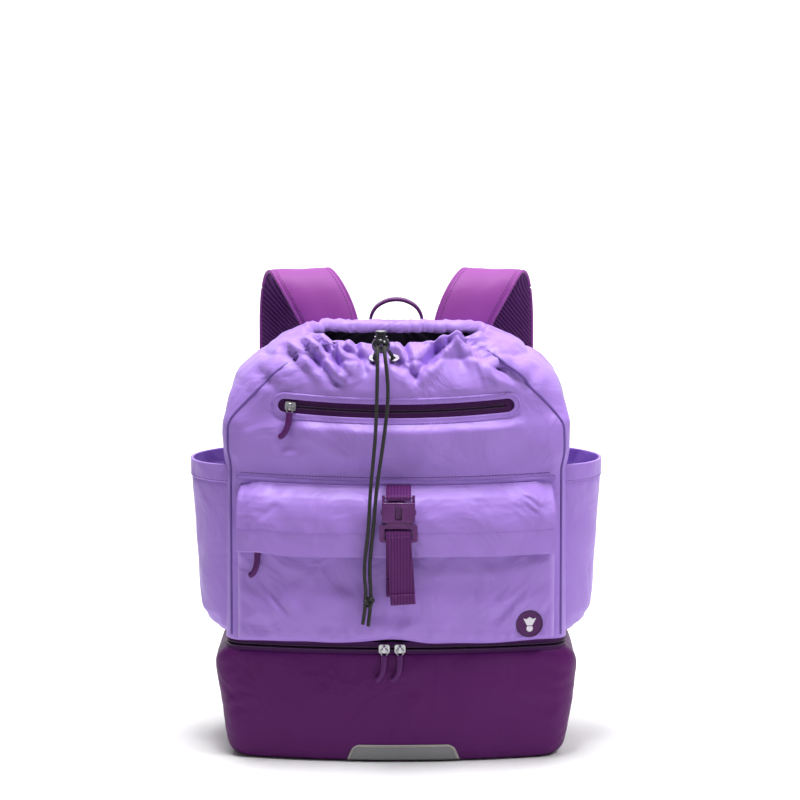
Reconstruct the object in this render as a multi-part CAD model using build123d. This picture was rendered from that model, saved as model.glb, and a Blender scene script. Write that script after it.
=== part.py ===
from build123d import *
import math
import os

os.makedirs("parts", exist_ok=True)

# Frame: millimetres, X to the right seen from the front, Y to the back, Z up.
# The bag stands on Z = 0 with its front facing -Y.

# The front face is part of a cylinder about a vertical axis far behind the bag,
# so every front zip slider turns about that same axis.
AXIS_Y = 612.0
R_FACE = 698.0
BACK_Y = 85.0
WALL = 3.0

# Shoe compartment sections: height, half width, front radius, back, front and back corner radius
BOX_SECTIONS = [
    (0.0, 173.0, 695.0, 83.0, 26.0, 26.0),
    (96.0, 187.0, 698.0, 85.0, 30.0, 30.0),
    (114.0, 175.0, 698.0, 85.0, 22.0, 24.0),
]
# Main compartment sections, from the shoe zip up to the drawstring tunnel
SHELL_SECTIONS = [
    (127.0, 175.0, 698.0, 85.0, 22.0, 24.0),
    (350.0, 174.0, 698.0, 85.0, 22.0, 24.0),
    (392.0, 163.0, 698.0, 85.0, 58.0, 26.0),
    (410.0, 144.0, 689.0, 84.0, 62.0, 34.0),
]
TUNNEL_SECTIONS = [
    (410.0, 144.0, 689.0, 84.0, 62.0, 34.0),
    (420.0, 118.0, 675.0, 83.0, 56.0, 40.0),
    (442.0, 90.0, 664.0, 80.0, 46.0, 40.0),
]
RIM_FRONT_Z = 428.0
RIM_BACK_Z = 439.0

# Shoe zip
ZIP_LINE_Z = 120.5
ZIP_GAP = 1.6
TAPE_THICK = 1.4
BOX_TOP_Z = 114.0
SHELL_BOTTOM_Z = 127.0
SHOE_SLIDER_X = 8.0
SHOE_SLIDER_MID_X = -4.0

# Upper pocket zip: a slot that sags a little in the middle
SLOT_HALF = 112.0
SLOT_MID_Z = 364.0
SLOT_HEIGHT = 15.0
SAG_RADIUS = 1250.0

# Lower pocket and its storm flap
POCKET_HALF = 160.0
POCKET_Z0 = 128.0
POCKET_Z1 = 240.0
POCKET_R = 712.0
LOW_ZIP_Z = 229.0
FLAP_BOTTOM_Z = 220.0
FLAP_R_IN = 719.0
FLAP_R_OUT = 721.4
FLAP_PIVOT_Y = -89.0
FLAP_PIVOT_Z = 291.2

# Webbing and buckle
WEB_WIDTH = 25.0
WEB_THICK = 1.6
BUCKLE_X = 2.5
BUCKLE_Y = -114.5

# Side pockets
SIDE_TOP_Z = 305.0
SIDE_HEM_Z = 286.0

# Draw cord
CORD_D = 3.7
LOCK_X = -15.0
LOCK_Y = -95.0
LOCK_Z = 432.0
LEFT_CORD = [(-22.2, -69.4, 414.4), (-18.1, -80, 432), (-18.1, -113, 432), (-18.6, -114, 385), (-20.5, -115.5, 338),
             (-25.5, -114.5, 290), (-27.6, -114, 245), (-32.5, -113, 210), (-29.2, -112, 176), (-33.5, -111.5, 152)]
RIGHT_CORD = [(-1.8, -69.0, 414.4), (-11.9, -80, 432), (-11.9, -113, 432), (-6.6, -114.5, 388), (-12.2, -115, 338),
              (-19.5, -115.5, 290), (-23, -114, 245), (-27, -112, 210), (-24.3, -111, 176), (-28, -110.5, 150)]
KNOT = (-26.8, -111.6, 175.0)

# Shoulder straps
FOAM = 9.0
MESH = 1.6

LOW_ZIP_HALF = 146.0
LOW_SLIDER_X = -139.0
ARM_X = 10.2
ARM_Z = 254.2
BADGE_X = 135.0
BADGE_Z = 147.0
EYELETS_X = (-22.0, -2.0)
HANDLE_Y = 97.0

# The upper zip sags, so its sliders turn about a tilted axis
SAG_RATIO = R_FACE / SAG_RADIUS
SAG_TILT = math.degrees(math.atan(SAG_RATIO))
SAG_ARM = 1.0 / math.hypot(1.0 / R_FACE, 1.0 / SAG_RADIUS)
SAG_PIVOT_Y = AXIS_Y - R_FACE + SAG_ARM * math.cos(math.atan(SAG_RATIO))
SAG_PIVOT_Z = SLOT_MID_Z + SAG_ARM * math.sin(math.atan(SAG_RATIO))
UPPER_SLIDER_TURN = -10.0

# Route of the right shoulder strap's middle with its width there
STRAP_ROUTE = [
    ((66, 90.3, 372), 60.0),
    ((66, 90.3, 402), 60.0),
    ((69, 91.6, 424), 60.0),
    ((76, 95.4, 446), 61.0),
    ((87, 102.5, 466), 62.0),
    ((98, 113.5, 480), 62.0),
    ((107, 127.0, 484.5), 62.0),
    ((113, 140.0, 478), 62.0),
    ((117, 149.5, 462), 62.0),
    ((119, 154.5, 440), 62.0),
    ((120, 156.5, 412), 61.0),
    ((120.5, 156.5, 372), 60.0),
    ((120.5, 154.0, 330), 57.0),
    ((121, 149.5, 290), 52.0),
    ((122, 143.0, 252), 44.0),
    ((123.5, 135.0, 222), 34.0),
    ((124.5, 129.5, 206), 28.0),
]

ADJUSTER_PLACE = Plane(origin=(125.5, 122.0, 190.5), x_dir=(1, 0, 0), z_dir=(-0.02, 0.42, 0.9))


def save(shape, name):
    """Write one sub-part to its own STEP file."""
    if not shape.is_valid:
        print("not valid:", name)
    print(f"{name}: {shape.volume / 1000:.2f} cm3, solids {len(shape.solids())}")
    export_step(shape, f"parts/{name}.step")


def plan(section, grow=0.0, z_shift=0.0):
    """Plan outline of the bag at one height, grown outward by grow."""
    z, half, radius, back, r_front, r_back = section
    half += grow
    radius += grow
    back += grow
    side_y = AXIS_Y - math.sqrt(radius * radius - half * half)
    left = Line((-half, back), (-half, side_y))
    front = ThreePointArc((-half, side_y), (0, AXIS_Y - radius), (half, side_y))
    right = Line((half, side_y), (half, back))
    rear = Line((half, back), (-half, back))
    face = make_face([left.edge(), front.edge(), right.edge(), rear.edge()])
    face = fillet([v for v in face.vertices() if v.Y < 0], r_front + grow)
    face = fillet([v for v in face.vertices() if v.Y > back - 0.01], r_back + grow)
    return Pos(0, 0, z + z_shift) * face


def skin(sections, grow=0.0):
    """Closed body through the plan outlines."""
    return loft([plan(s, grow) for s in sections], ruled=True)


def inset_sections(sections, wall):
    """The same sections moved inward by a wall."""
    return [(z, h - wall, r - wall, b - wall, f - wall, k - wall) for z, h, r, b, f, k in sections]


def between(sections, z):
    """Section at any height, by straight interpolation."""
    for low, high in zip(sections, sections[1:]):
        if low[0] <= z <= high[0]:
            t = (z - low[0]) / (high[0] - low[0])
            return tuple(a + (b - a) * t for a, b in zip(low, high))
    return sections[-1]


def corner_point(section, angle_deg):
    """Point on the right front corner rounding; 0 is the side, 90 the front."""
    _, half, radius, _, r_front, _ = section
    cx = half - r_front
    reach = radius - r_front
    cy = AXIS_Y - math.sqrt(reach * reach - cx * cx)
    a = math.radians(angle_deg)
    return cx + r_front * math.cos(a), cy - r_front * math.sin(a)


def drum(radius, z0, z1):
    """Upright cylinder about the far front axis."""
    return Pos(0, AXIS_Y, (z0 + z1) / 2) * Cylinder(radius, z1 - z0)


def block(x0, x1, y0, y1, z0, z1):
    """Box given by its limits."""
    return Pos((x0 + x1) / 2, (y0 + y1) / 2, (z0 + z1) / 2) * Box(x1 - x0, y1 - y0, z1 - z0)


def front_band(r0, r1, half, z0, z1):
    """Strip of the front face between two radii."""
    strip = drum(r1, z0, z1) - drum(r0, z0 - 1, z1 + 1)
    return strip & block(-half, half, -200, 60, z0 - 1, z1 + 1)


def prism(face, y0, y1):
    """Push a front view face (drawn in X and Z) from y0 to y1."""
    return extrude(Plane(origin=(0, y0, 0), x_dir=(1, 0, 0), z_dir=(0, 1, 0)) * mirror(face, Plane.XZ), y1 - y0)


def turned(shape, degrees):
    """Turn about the far front axis; plus moves a front piece to the right."""
    return Pos(0, AXIS_Y, 0) * Rot(0, 0, degrees) * Pos(0, -AXIS_Y, 0) * shape


def angle_at(x, radius=R_FACE):
    """Turn that brings a piece at the middle of the front to x."""
    return math.degrees(math.asin(x / radius))


def tube(points, diameter, radii):
    """Round bar along straight runs joined by tangent arcs."""
    path = FilletPolyline(*points, radius=radii)
    start = Plane(origin=path @ 0, z_dir=path % 0)
    return sweep(start * Circle(diameter / 2), path=path)


def bend_radii(points, share=0.45):
    """Bend radius at each inner point of a route."""
    radii = []
    for a, b, c in zip(points, points[1:], points[2:]):
        u = Vector(*b) - Vector(*a)
        v = Vector(*c) - Vector(*b)
        turn = math.radians(u.get_angle(v))
        radii.append(share * min(u.length, v.length) / math.tan(turn / 2))
    return radii


# ---------------------------------------------------------------- shoe compartment

def shoe_box():
    """Open-topped box of padded fabric with rounded bottom edges."""
    outer = skin(BOX_SECTIONS)
    bottom = outer.faces().sort_by(Axis.Z)[0]
    outer = fillet(bottom.edges(), 9)
    inner_sections = [(z, h - WALL, r - WALL, b - WALL, f - WALL, k - WALL)
                      for z, h, r, b, f, k in BOX_SECTIONS]
    inner_sections[0] = (WALL,) + tuple(between(inner_sections, WALL))[1:]
    inner = skin(inner_sections)
    floor = inner.faces().sort_by(Axis.Z)[0]
    inner = fillet(floor.edges(), 6)
    return outer - inner


def base_board():
    """Stiff board lying on the floor of the shoe compartment."""
    section = between(BOX_SECTIONS, WALL)
    face = plan(section, -WALL - 9)
    return extrude(face, 2.0)


def base_patch():
    """Reflective patch wrapped over the bottom front edge."""
    lower = [(z, h + 1.2, r + 1.2, b + 1.2, f + 1.2, k + 1.2) for z, h, r, b, f, k in BOX_SECTIONS]
    lower[0] = (-1.2,) + lower[0][1:]
    shell = skin(lower)
    shell = fillet(shell.faces().sort_by(Axis.Z)[0].edges(), 10.2)
    body = skin(BOX_SECTIONS)
    body = fillet(body.faces().sort_by(Axis.Z)[0].edges(), 9)
    outline = make_face(Polyline((-51, 1.4), (66, 1.4), (59, 19), (-44, 19), close=True))
    outline = fillet(outline.vertices().sort_by(Axis.Y)[-2:], 7)
    return (shell & prism(outline, -120, -40)) - body


def zip_ring(z0, z1, inset, thick):
    """Band that follows the bag's outline at the shoe zip, open at the back."""
    section = BOX_SECTIONS[-1]
    outer = extrude(plan(section, -inset, z0 - section[0]), z1 - z0)
    inner = extrude(plan(section, -inset - thick, z0 - section[0] - 1), z1 - z0 + 2)
    ring = outer - inner
    return ring & block(-200, 200, -120, 58, z0 - 1, z1 + 1)


def rear_seam(z0, z1):
    """Half of the sewn seam that joins the two compartments round the back."""
    section = BOX_SECTIONS[-1]
    outer = extrude(plan(section, -0.5, z0 - section[0]), z1 - z0)
    inner = extrude(plan(section, -2.7, z0 - section[0] - 1), z1 - z0 + 2)
    return (outer - inner) & block(-200, 200, 58, 120, z0 - 1, z1 + 1)


def slider(width=9.0, length=11.0, reach=3.4):
    """Zip slider at the middle of the front, its plate lying on the tape."""
    y = AXIS_Y - R_FACE
    front = block(-length / 2, length / 2, y - 1.9, y - 0.5, -width / 2, width / 2)
    front = fillet(front.edges().filter_by(Axis.Y), 2.2)
    post = block(-2.2, 2.2, y - 0.6, y + 3.5, -0.5, 0.5)
    back = block(-length / 2 + 1.5, length / 2 - 1.5, y + 3.4, y + 4.4, -width / 2 + 0.6, width / 2 - 0.6)
    back = fillet(back.edges().filter_by(Axis.Y), 1.6)
    bridge = block(-1.1, 1.1, y - 1.9 - reach, y - 1.8, -3.6, 3.6)
    eye = Pos(0, y - 1.9 - reach / 2 + 0.1, 0) * Box(6, reach - 1.3, 4.0)
    bridge = fillet(bridge.edges().filter_by(Axis.X).group_by(Axis.Y)[0], 1.4) - eye
    return front + post + back + bridge


def puller(side=-1.0):
    """Moulded J-shaped pull with a wire ring through the slider's bridge."""
    y = AXIS_Y - R_FACE - 3.7
    ring = Pos(0, y, -3.0) * Rot(90, 0, 0) * Torus(3.6, 0.55)
    points = [(0, y, -7.4), (side * 0.6, y - 0.6, -19), (side * 3.2, y - 0.9, -28), (side * 9.5, y - 0.4, -33)]
    stem = tube(points, 3.4, bend_radii(points))
    tip = Pos(*points[-1]) * Sphere(1.7)
    collar = Pos(0, y, -7.6) * Cylinder(2.1, 3.0)
    return ring + collar + stem + tip


# ---------------------------------------------------------------- main compartment

def main_shell(outer):
    """Main compartment wall with a floor rim, open at the mouth and cut for the zip."""
    inner_sections = [(z, h - WALL, r - WALL, b - WALL, f - WALL, k - WALL)
                      for z, h, r, b, f, k in SHELL_SECTIONS]
    shell = outer - skin(inner_sections)
    return shell - slot_prism(SLOT_HEIGHT)


def divider_floor():
    """Padded floor between the main and the shoe compartment."""
    section = SHELL_SECTIONS[0]
    return extrude(plan(section, -WALL), 3.0) & skin(inset_sections(SHELL_SECTIONS, WALL))


def sag_arc(half, lift=0.0):
    """Front view line of the upper zip."""
    drop = SAG_RADIUS - math.sqrt(SAG_RADIUS ** 2 - half ** 2)
    z = SLOT_MID_Z + lift
    return ThreePointArc((-half, z + drop), (0, z), (half, z + drop))


def slot_prism(height, half=SLOT_HALF):
    """Cutter for the upper pocket's opening."""
    outline = SlotArc(sag_arc(half), height)
    return prism(outline, -120, -40)


def upper_zip_tape():
    """Two tapes of the upper zip filling the slot, a fine gap between them."""
    band = front_band(R_FACE - 2.4, R_FACE - 1.0, 140, 340, 392)
    tape = band & slot_prism(SLOT_HEIGHT)
    return tape - slot_prism(ZIP_GAP, SLOT_HALF - 1.5)


def upper_zip_coil():
    """Coil rows on both tapes of the upper zip."""
    band = front_band(R_FACE - 3.0, R_FACE - 2.4, 140, 340, 392)
    rows = band & slot_prism(4.4, SLOT_HALF - 0.5)
    return rows - slot_prism(ZIP_GAP, SLOT_HALF - 1.5)


def upper_pouch():
    """Lining bag behind the upper zip, inside the main compartment, open to the slot."""
    room = skin(inset_sections(SHELL_SECTIONS, WALL))
    outer = front_band(R_FACE - WALL - 19, R_FACE + 1, 130, 262, 386)
    cavity = front_band(R_FACE - WALL - 17.4, R_FACE + 2, 128.4, 263.6, 384.4)
    return (outer - cavity) & room


def drawstring_tunnel(outer):
    """Band round the mouth that carries the draw cord; its rim rises to the back."""
    band = outer - skin(inset_sections(TUNNEL_SECTIONS, 4.0))
    depth = 200.0
    rise = math.degrees(math.atan((RIM_BACK_Z - RIM_FRONT_Z) / 132.0))
    cutter = Pos(0, -52, RIM_FRONT_Z) * Rot(rise, 0, 0) * Pos(0, depth / 2 - 60, 30) * Box(400, depth + 60, 60)
    return band - cutter - eyelet_bores(5.6)


def eyelet_place(x):
    """Seat of a cord eyelet on the sloping front of the tunnel."""
    y = AXIS_Y - math.sqrt(681.4 ** 2 - x * x)
    return Plane(origin=(x, y, 415.4), x_dir=(1, 0, 0), z_dir=(0, -0.58, 0.81))


def eyelet_bores(diameter):
    """Two holes through the tunnel for the cord ends."""
    bores = [eyelet_place(x) * Cylinder(diameter / 2, 24) for x in EYELETS_X]
    return bores[0] + bores[1]


def tunnel_eyelets(outer):
    """Two pressed metal eyelets."""
    made = []
    for x in EYELETS_X:
        dome = eyelet_place(x) * Pos(0, 0, -0.1) * Cylinder(5.2, 3.0) - outer
        sleeve = eyelet_place(x) * Pos(0, 0, -0.9) * Cylinder(2.8, 3.8)
        made.append(dome + sleeve - eyelet_bores(3.5))
    return made[0] + made[1]


def draw_cord(points):
    """One free end of the draw cord, from its eyelet through the lock to the knot."""
    radii = bend_radii(points)
    radii[0] = 11.3
    radii[1] = 11.3
    radii = [min(r, 300.0) for r in radii]
    print("cord radii", [round(r, 1) for r in radii])
    return tube(points, CORD_D, radii)


def cord_knot(cords):
    """Overhand knot that ties both cord ends together."""
    ball = Pos(*KNOT) * Sphere(7.0)
    return ball - cords[0] - cords[1]


def cord_lock_body():
    """Round cord lock with two bores front to back and a well for the button."""
    ball = Sphere(9.2) & Box(30, 17.0, 15.0)
    neck = Pos(0, 0, 7.0) * Cylinder(6.6, 3.6)
    ball = ball + neck
    well = Pos(0, 0, 6.4) * Cylinder(5.05, 10.0)
    bores = [Pos(s * 3.1, 0, 0) * Rot(90, 0, 0) * Cylinder(2.35, 30) for s in (-1, 1)]
    return Pos(LOCK_X, LOCK_Y, LOCK_Z) * (ball - bores[0] - bores[1] - well)


def cord_lock_button():
    """Spring button of the cord lock; pushing it down frees the cords."""
    stem = Pos(0, 0, 9.2) * Cylinder(5.0, 5.6)
    cap = Pos(0, 0, 13.1) * Cylinder(5.6, 2.2)
    cap = fillet(cap.edges().filter_by(GeomType.CIRCLE).group_by(Axis.Z)[-1], 1.2)
    return Pos(LOCK_X, LOCK_Y, LOCK_Z) * (stem + cap)


def front_piping(outer):
    """Welted edge between the front panel and the right side panel."""
    points = []
    for z, turn in ((129.5, 45), (349, 45), (361, 52), (372, 60), (383, 68), (394, 76)):
        x, y = corner_point(between(SHELL_SECTIONS, z), turn)
        points.append((x + 0.2, y - 0.3, z))
    bead = tube(points, 3.6, [30.0, 30.0, 30.0, 30.0])
    return bead - outer


def lower_pocket_body():
    """Solid outline of the puffed lower pocket."""
    body = drum(POCKET_R, POCKET_Z0, POCKET_Z1) & block(-POCKET_HALF, POCKET_HALF, -140, -40, 0, 400)
    sides = [e for e in body.edges().filter_by(Axis.Z) if e.center().Y < -60]
    body = fillet(sides, 9)
    front = [e for e in body.edges() if e.center().Y < -84 and abs(e.center().Z - POCKET_Z0) < 0.1]
    top = [e for e in body.edges() if e.center().Y < -84 and abs(e.center().Z - POCKET_Z1) < 0.1]
    return fillet(front + top, 5)


def lower_pocket(outer):
    """Gusseted lower pocket, its opening across the front just under the flap."""
    cavity = front_band(R_FACE - 20, POCKET_R - 2.2, POCKET_HALF - 3, POCKET_Z0 + 2.2, POCKET_Z1 - 2.2)
    shell = lower_pocket_body() - cavity - outer
    return shell - block(-LOW_ZIP_HALF, LOW_ZIP_HALF, -140, -60, LOW_ZIP_Z - 5, LOW_ZIP_Z + 5)


def lower_zip_tape():
    """Two tapes of the lower pocket's zip."""
    band = front_band(POCKET_R - 2.0, POCKET_R - 0.6, LOW_ZIP_HALF, LOW_ZIP_Z - 5, LOW_ZIP_Z + 5)
    return band - block(-LOW_ZIP_HALF + 4, LOW_ZIP_HALF - 4, -140, -60, LOW_ZIP_Z - ZIP_GAP / 2, LOW_ZIP_Z + ZIP_GAP / 2)


def zip_coil(radius, half, z):
    """Two coil rows behind the tapes of a straight front zip."""
    band = front_band(radius - 0.6, radius, half, z - 2.2, z + 2.2)
    return band - block(-half - 1, half + 1, -140, -40, z - ZIP_GAP / 2, z + ZIP_GAP / 2)


def flap_seam():
    """Bound seam that holds the storm flap."""
    strip = front_band(R_FACE - 4, R_FACE + 2.6, POCKET_HALF - 8, FLAP_PIVOT_Z + 0.5, FLAP_PIVOT_Z + 4.5)
    return strip - MAIN_SKIN


def flap_panel():
    """Storm flap: a curved panel that hangs from its seam over the lower pocket's zip."""
    outer = [(701.0, 291.0), (701.0, 289.4), (712.0, 279.6), (718.6, 267.0), (FLAP_R_OUT, 253.0),
             (FLAP_R_OUT, FLAP_BOTTOM_Z)]
    inner = [(FLAP_R_IN, FLAP_BOTTOM_Z), (FLAP_R_IN, 252.6), (716.4, 266.2), (710.4, 277.8), (698.7, 288.2),
             (698.7, 291.0)]
    points = [(AXIS_Y - r, z) for r, z in outer + inner]
    face = Plane.YZ * make_face(Polyline(*points, close=True))
    sweep_deg = 2 * angle_at(POCKET_HALF - 1, FLAP_R_OUT)
    panel = revolve(face, axis=Axis((0, AXIS_Y, 0), (0, 0, 1)), revolution_arc=sweep_deg)
    panel = turned(panel, -panel_offset(panel, sweep_deg))
    return panel


def panel_offset(panel, sweep_deg):
    """Half turn, with its sign, that centres a revolved front panel."""
    return sweep_deg / 2 if panel.center().X > 0 else -sweep_deg / 2


def band_yz(points, x_mid, width, thick):
    """Webbing that follows a route drawn in side view (Y, Z)."""
    line = Polyline(*points)
    face = Plane.YZ * make_face(offset(line, thick / 2, kind=Kind.INTERSECTION, side=Side.BOTH).edges())
    strip = extrude(face, width / 2, both=True)
    return Pos(x_mid, 0, 0) * strip


def flap_webbing(flap):
    """Short webbing sewn on the flap's seam, looped round the socket's bar."""
    y = BUCKLE_Y
    route = [(-89.4, 290.2), (-103.0, 284.4), (y + 2.6, 282.6), (y + 0.2, 283.4), (y - 2.1, 281.6), (y - 1.6, 279.2)]
    return band_yz(route, BUCKLE_X, WEB_WIDTH, WEB_THICK) - flap


def buckle_socket():
    """Female half of the side release buckle."""
    x, y = BUCKLE_X, BUCKLE_Y
    body = block(x - 16.5, x + 16.5, y - 4.4, y + 4.4, 257, 277)
    body = fillet(body.edges().filter_by(Axis.Y), 2.0)
    body = fillet(body.edges().filter_by(Axis.X).group_by(Axis.Y)[0], 1.0)
    posts = [block(x + s * 15 - 1.4, x + s * 15 + 1.4, y - 2.2, y + 2.2, 276, 283.6) for s in (-1, 1)]
    bar = Pos(x, y + 0.2, 281.2) * Rot(0, 90, 0) * Cylinder(0.9, 29)
    cavity = block(x - 12.8, x + 12.8, y - 2.9, y + 2.9, 255, 275)
    windows = block(x - 20, x + 20, y - 2.9, y + 2.9, 262, 275)
    view = block(x - 3.4, x + 3.4, y - 6, y - 2, 259.5, 272.5)
    view = fillet(view.edges().filter_by(Axis.Y), 1.5)
    mark = block(x - 2, x + 2, y - 4.9, y - 4.3, 273.6, 275.8)
    return body + posts[0] + posts[1] + bar + mark - cavity - windows - view


def buckle_plug():
    """Male half: ladder lock frame, shoulder and centre tongue."""
    x, y = BUCKLE_X, BUCKLE_Y
    frame = block(x - 19, x + 19, y - 2.6, y + 2.6, 236.6, 254.4)
    frame = fillet(frame.edges().filter_by(Axis.Y), 2.5)
    slot_low = block(x - 14, x + 14, y - 4, y + 4, 239.6, 243.6)
    slot_high = block(x - 14, x + 14, y - 4, y + 4, 246.8, 250.4)
    shoulder = block(x - 12.4, x + 12.4, y - 2.6, y + 2.6, 254, 256.4)
    tongue = block(x - 2.8, x + 2.8, y - 2.0, y + 2.0, 256, 273)
    tongue = fillet(tongue.edges().filter_by(Axis.Y).group_by(Axis.Z)[-1], 1.6)
    seats = [Pos(x + s * ARM_X, y, ARM_Z) * Rot(90, 0, 0) * Cylinder(2.15, 8) for s in (-1, 1)]
    reliefs = [block(x + s * ARM_X - 2.15, x + s * ARM_X + 2.15, y - 4, y + 4, ARM_Z, 258) for s in (-1, 1)]
    plug = frame + shoulder + tongue - slot_low - slot_high
    for s in (-1, 1):
        plug -= block(x - 14, x + 14, y + s * 3 - 1.7, y + s * 3 + 1.7, 243, 247)
    return plug - seats[0] - seats[1] - reliefs[0] - reliefs[1]


def buckle_arm(side):
    """Springy side arm of the plug with the ear that shows at the socket's side."""
    x, y = BUCKLE_X + side * ARM_X, BUCKLE_Y
    root = Pos(x, y, ARM_Z) * Rot(90, 0, 0) * Cylinder(2.1, 4.6)
    stem = block(x - 1.5, x + 1.5, y - 2.3, y + 2.3, ARM_Z, 271)
    points = [(x + side * 0.5, 262.8), (x + side * 5.6, 262.8), (x + side * 7.6, 265.4), (x + side * 7.4, 268.6),
              (x + side * 3.0, 273.6), (x - side * 0.6, 273.6), (x - side * 1.5, 271.0)]
    ear = prism(make_face(Polyline(*points, close=True)), y - 2.3, y + 2.3)
    return root + stem + ear


def plug_webbing():
    """Adjusting webbing: anchor run, turn over the ladder bar and the free tail."""
    x, y = BUCKLE_X, BUCKLE_Y
    route = [(y + 3.6, 200), (y + 3.6, 243.2), (y + 1.8, 247.8), (y - 1.8, 247.8), (y - 3.9, 243.2), (y - 3.9, 238)]
    band = band_yz(route, x, WEB_WIDTH, WEB_THICK)
    tail = block(-WEB_WIDTH / 2, WEB_WIDTH / 2, y - 4.7, y - 3.1, -67, 3)
    fold = block(-WEB_WIDTH / 2, WEB_WIDTH / 2, y - 6.3, y - 4.7, -67, -57)
    loose = Pos(x, 0, 241) * Rot(0, -4, 0) * (tail + fold)
    return band + loose


def webbing_anchor():
    """Sewn end of the adjusting webbing on the lower pocket."""
    lift = front_band(POCKET_R, POCKET_R + 1.6, 60, 166, 197)
    return lift & block(BUCKLE_X - WEB_WIDTH / 2, BUCKLE_X + WEB_WIDTH / 2, -140, -40, 100, 300)


def badge_disc():
    """Moulded round badge on the lower pocket."""
    y = AXIS_Y - POCKET_R
    disc = Pos(0, y + 0.6, BADGE_Z) * Rot(90, 0, 0) * Cylinder(14.0, 4.4)
    disc = fillet(disc.edges().filter_by(GeomType.CIRCLE).group_by(Axis.Y)[0], 0.8)
    return turned(disc - drum(POCKET_R, 100, 200), angle_at(BADGE_X, POCKET_R))


def badge_emblem():
    """Generic shuttlecock figure standing proud of the badge."""
    y = AXIS_Y - POCKET_R - 1.6
    skirt = Polyline((-2.8, 0), (-6.6, 7.4), (-3.4, 6.4), (0, 8.6), (3.4, 6.4), (6.6, 7.4), (2.8, 0), close=True)
    cork = Pos(0, -3.2) * Circle(3.3) - Pos(0, 0.4) * Rectangle(9, 2.4)
    emblem = Pos(0, 0, BADGE_Z - 1.5) * (prism(make_face(skirt), y - 0.7, y) + prism(cork, y - 0.7, y))
    return turned(emblem, angle_at(BADGE_X, POCKET_R))


def side_pocket_plan(z, bulge):
    """Plan outline of the right side pocket at one height."""
    edge = ThreePointArc((160, 64), (175 + bulge, 4), (160, -58))
    back = Line((160, -58), (160, 64))
    return Pos(0, 0, z) * make_face([edge.edge(), back.edge()])


def side_pocket_solid(z_from, z_to, inset=0.0):
    """Bucket shape of the right side pocket between two heights."""
    stations = [(128.5, 14.0), (146.0, 29.0), (200.0, 33.0), (SIDE_HEM_Z, 38.0), (SIDE_TOP_Z, 39.0)]
    kept = [s for s in stations if z_from <= s[0] <= z_to]
    return loft([side_pocket_plan(z, bulge - inset) for z, bulge in kept], ruled=True)


def side_pocket(outer):
    """Right side pocket, open at the top."""
    body = side_pocket_solid(128, SIDE_HEM_Z)
    room = side_pocket_solid(128, SIDE_HEM_Z, 2.2) & block(0, 400, -100, 100, 131, 400)
    return body - room - outer


def side_pocket_hem(outer):
    """Elastic hem round the side pocket's opening."""
    body = side_pocket_solid(SIDE_HEM_Z, SIDE_TOP_Z)
    room = side_pocket_solid(SIDE_HEM_Z, SIDE_TOP_Z, 3.0)
    return body - room - outer


def back_pad():
    """Right one of two foam pads on the back panel, beside the spine channel."""
    pad = block(12, 118, BACK_Y, BACK_Y + 8, 168, 362)
    pad = fillet(pad.edges().filter_by(Axis.Y), 20)
    return fillet(pad.edges().group_by(Axis.Y)[-1], 4)


def lumbar_pad():
    """Foam pad across the lower back."""
    pad = block(-118, 118, BACK_Y, BACK_Y + 10, 134, 162)
    pad = fillet(pad.edges().filter_by(Axis.Y), 12)
    return fillet(pad.edges().group_by(Axis.Y)[-1], 4)


def strap_station(here, toward, width, n_in, n_out):
    """Cross section of a strap at one point of its route."""
    t = (Vector(*toward)).normalized()
    w = Vector(1, 0, 0) - t * Vector(1, 0, 0).dot(t)
    w = w.normalized()
    plane = Plane(origin=Vector(*here), x_dir=w, z_dir=t)
    return plane * Pos(0, (n_in + n_out) / 2) * Rectangle(width, n_out - n_in)


def strap_layer(n_in, n_out):
    """Ruled strap layer between two depths, measured from the strap's middle."""
    faces = []
    for i, (here, width) in enumerate(STRAP_ROUTE):
        before = STRAP_ROUTE[max(i - 1, 0)][0]
        after = STRAP_ROUTE[min(i + 1, len(STRAP_ROUTE) - 1)][0]
        if i == 1:
            after = STRAP_ROUTE[1][0]
        toward = tuple(a - b for a, b in zip(after, before))
        faces.append(strap_station(here, toward, width, n_in, n_out))
    return loft(faces, ruled=True)


def flat_strip(points, width, thick):
    """Webbing laid through points with its face to the back."""
    faces = []
    for i, here in enumerate(points):
        before = points[max(i - 1, 0)]
        after = points[min(i + 1, len(points) - 1)]
        toward = tuple(a - b for a, b in zip(after, before))
        faces.append(strap_station(here, toward, width, -thick / 2, thick / 2))
    return loft(faces, ruled=True)


def adjuster():
    """Ladder lock at the lower end of a shoulder strap."""
    frame = Box(33, 4.4, 24)
    frame = fillet(frame.edges().filter_by(Axis.Y), 3)
    for z in (-6.6, 0.6, 7.2):
        frame -= Pos(0, 0, z) * Box(26.5, 8, 3.4)
    return frame


def strap_loop():
    """Webbing tab sewn in the strap's lower end, holding the ladder lock."""
    return ADJUSTER_PLACE * block(-12.5, 12.5, 2.2, 3.8, 5.0, 22.0)


def strap_webbing():
    """Adjusting webbing of a strap: run to the bag, turn in the lock, free tail."""
    run = [tuple(ADJUSTER_PLACE.from_local_coords(v)) for v in ((0, -3.1, 3.0), (0, -3.1, -13.0), (0.5, -3.9, -18.0))]
    run += [(136.0, 93.5, 158.0), (139.0, 88.9, 148.0), (139.0, 88.5, 136.0)]
    tail = [tuple(ADJUSTER_PLACE.from_local_coords(v)) for v in ((0, 3.1, 3.0), (0, 3.1, -13.0), (0, 3.9, -18.0))]
    tail += [(127.0, 116.0, 150.0), (128.5, 114.0, 104.0)]
    turn = ADJUSTER_PLACE * block(-12.2, 12.2, -3.5, 3.5, -0.4, 1.2)
    return flat_strip(run, WEB_WIDTH, WEB_THICK) + flat_strip(tail, WEB_WIDTH, WEB_THICK) + turn


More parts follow.
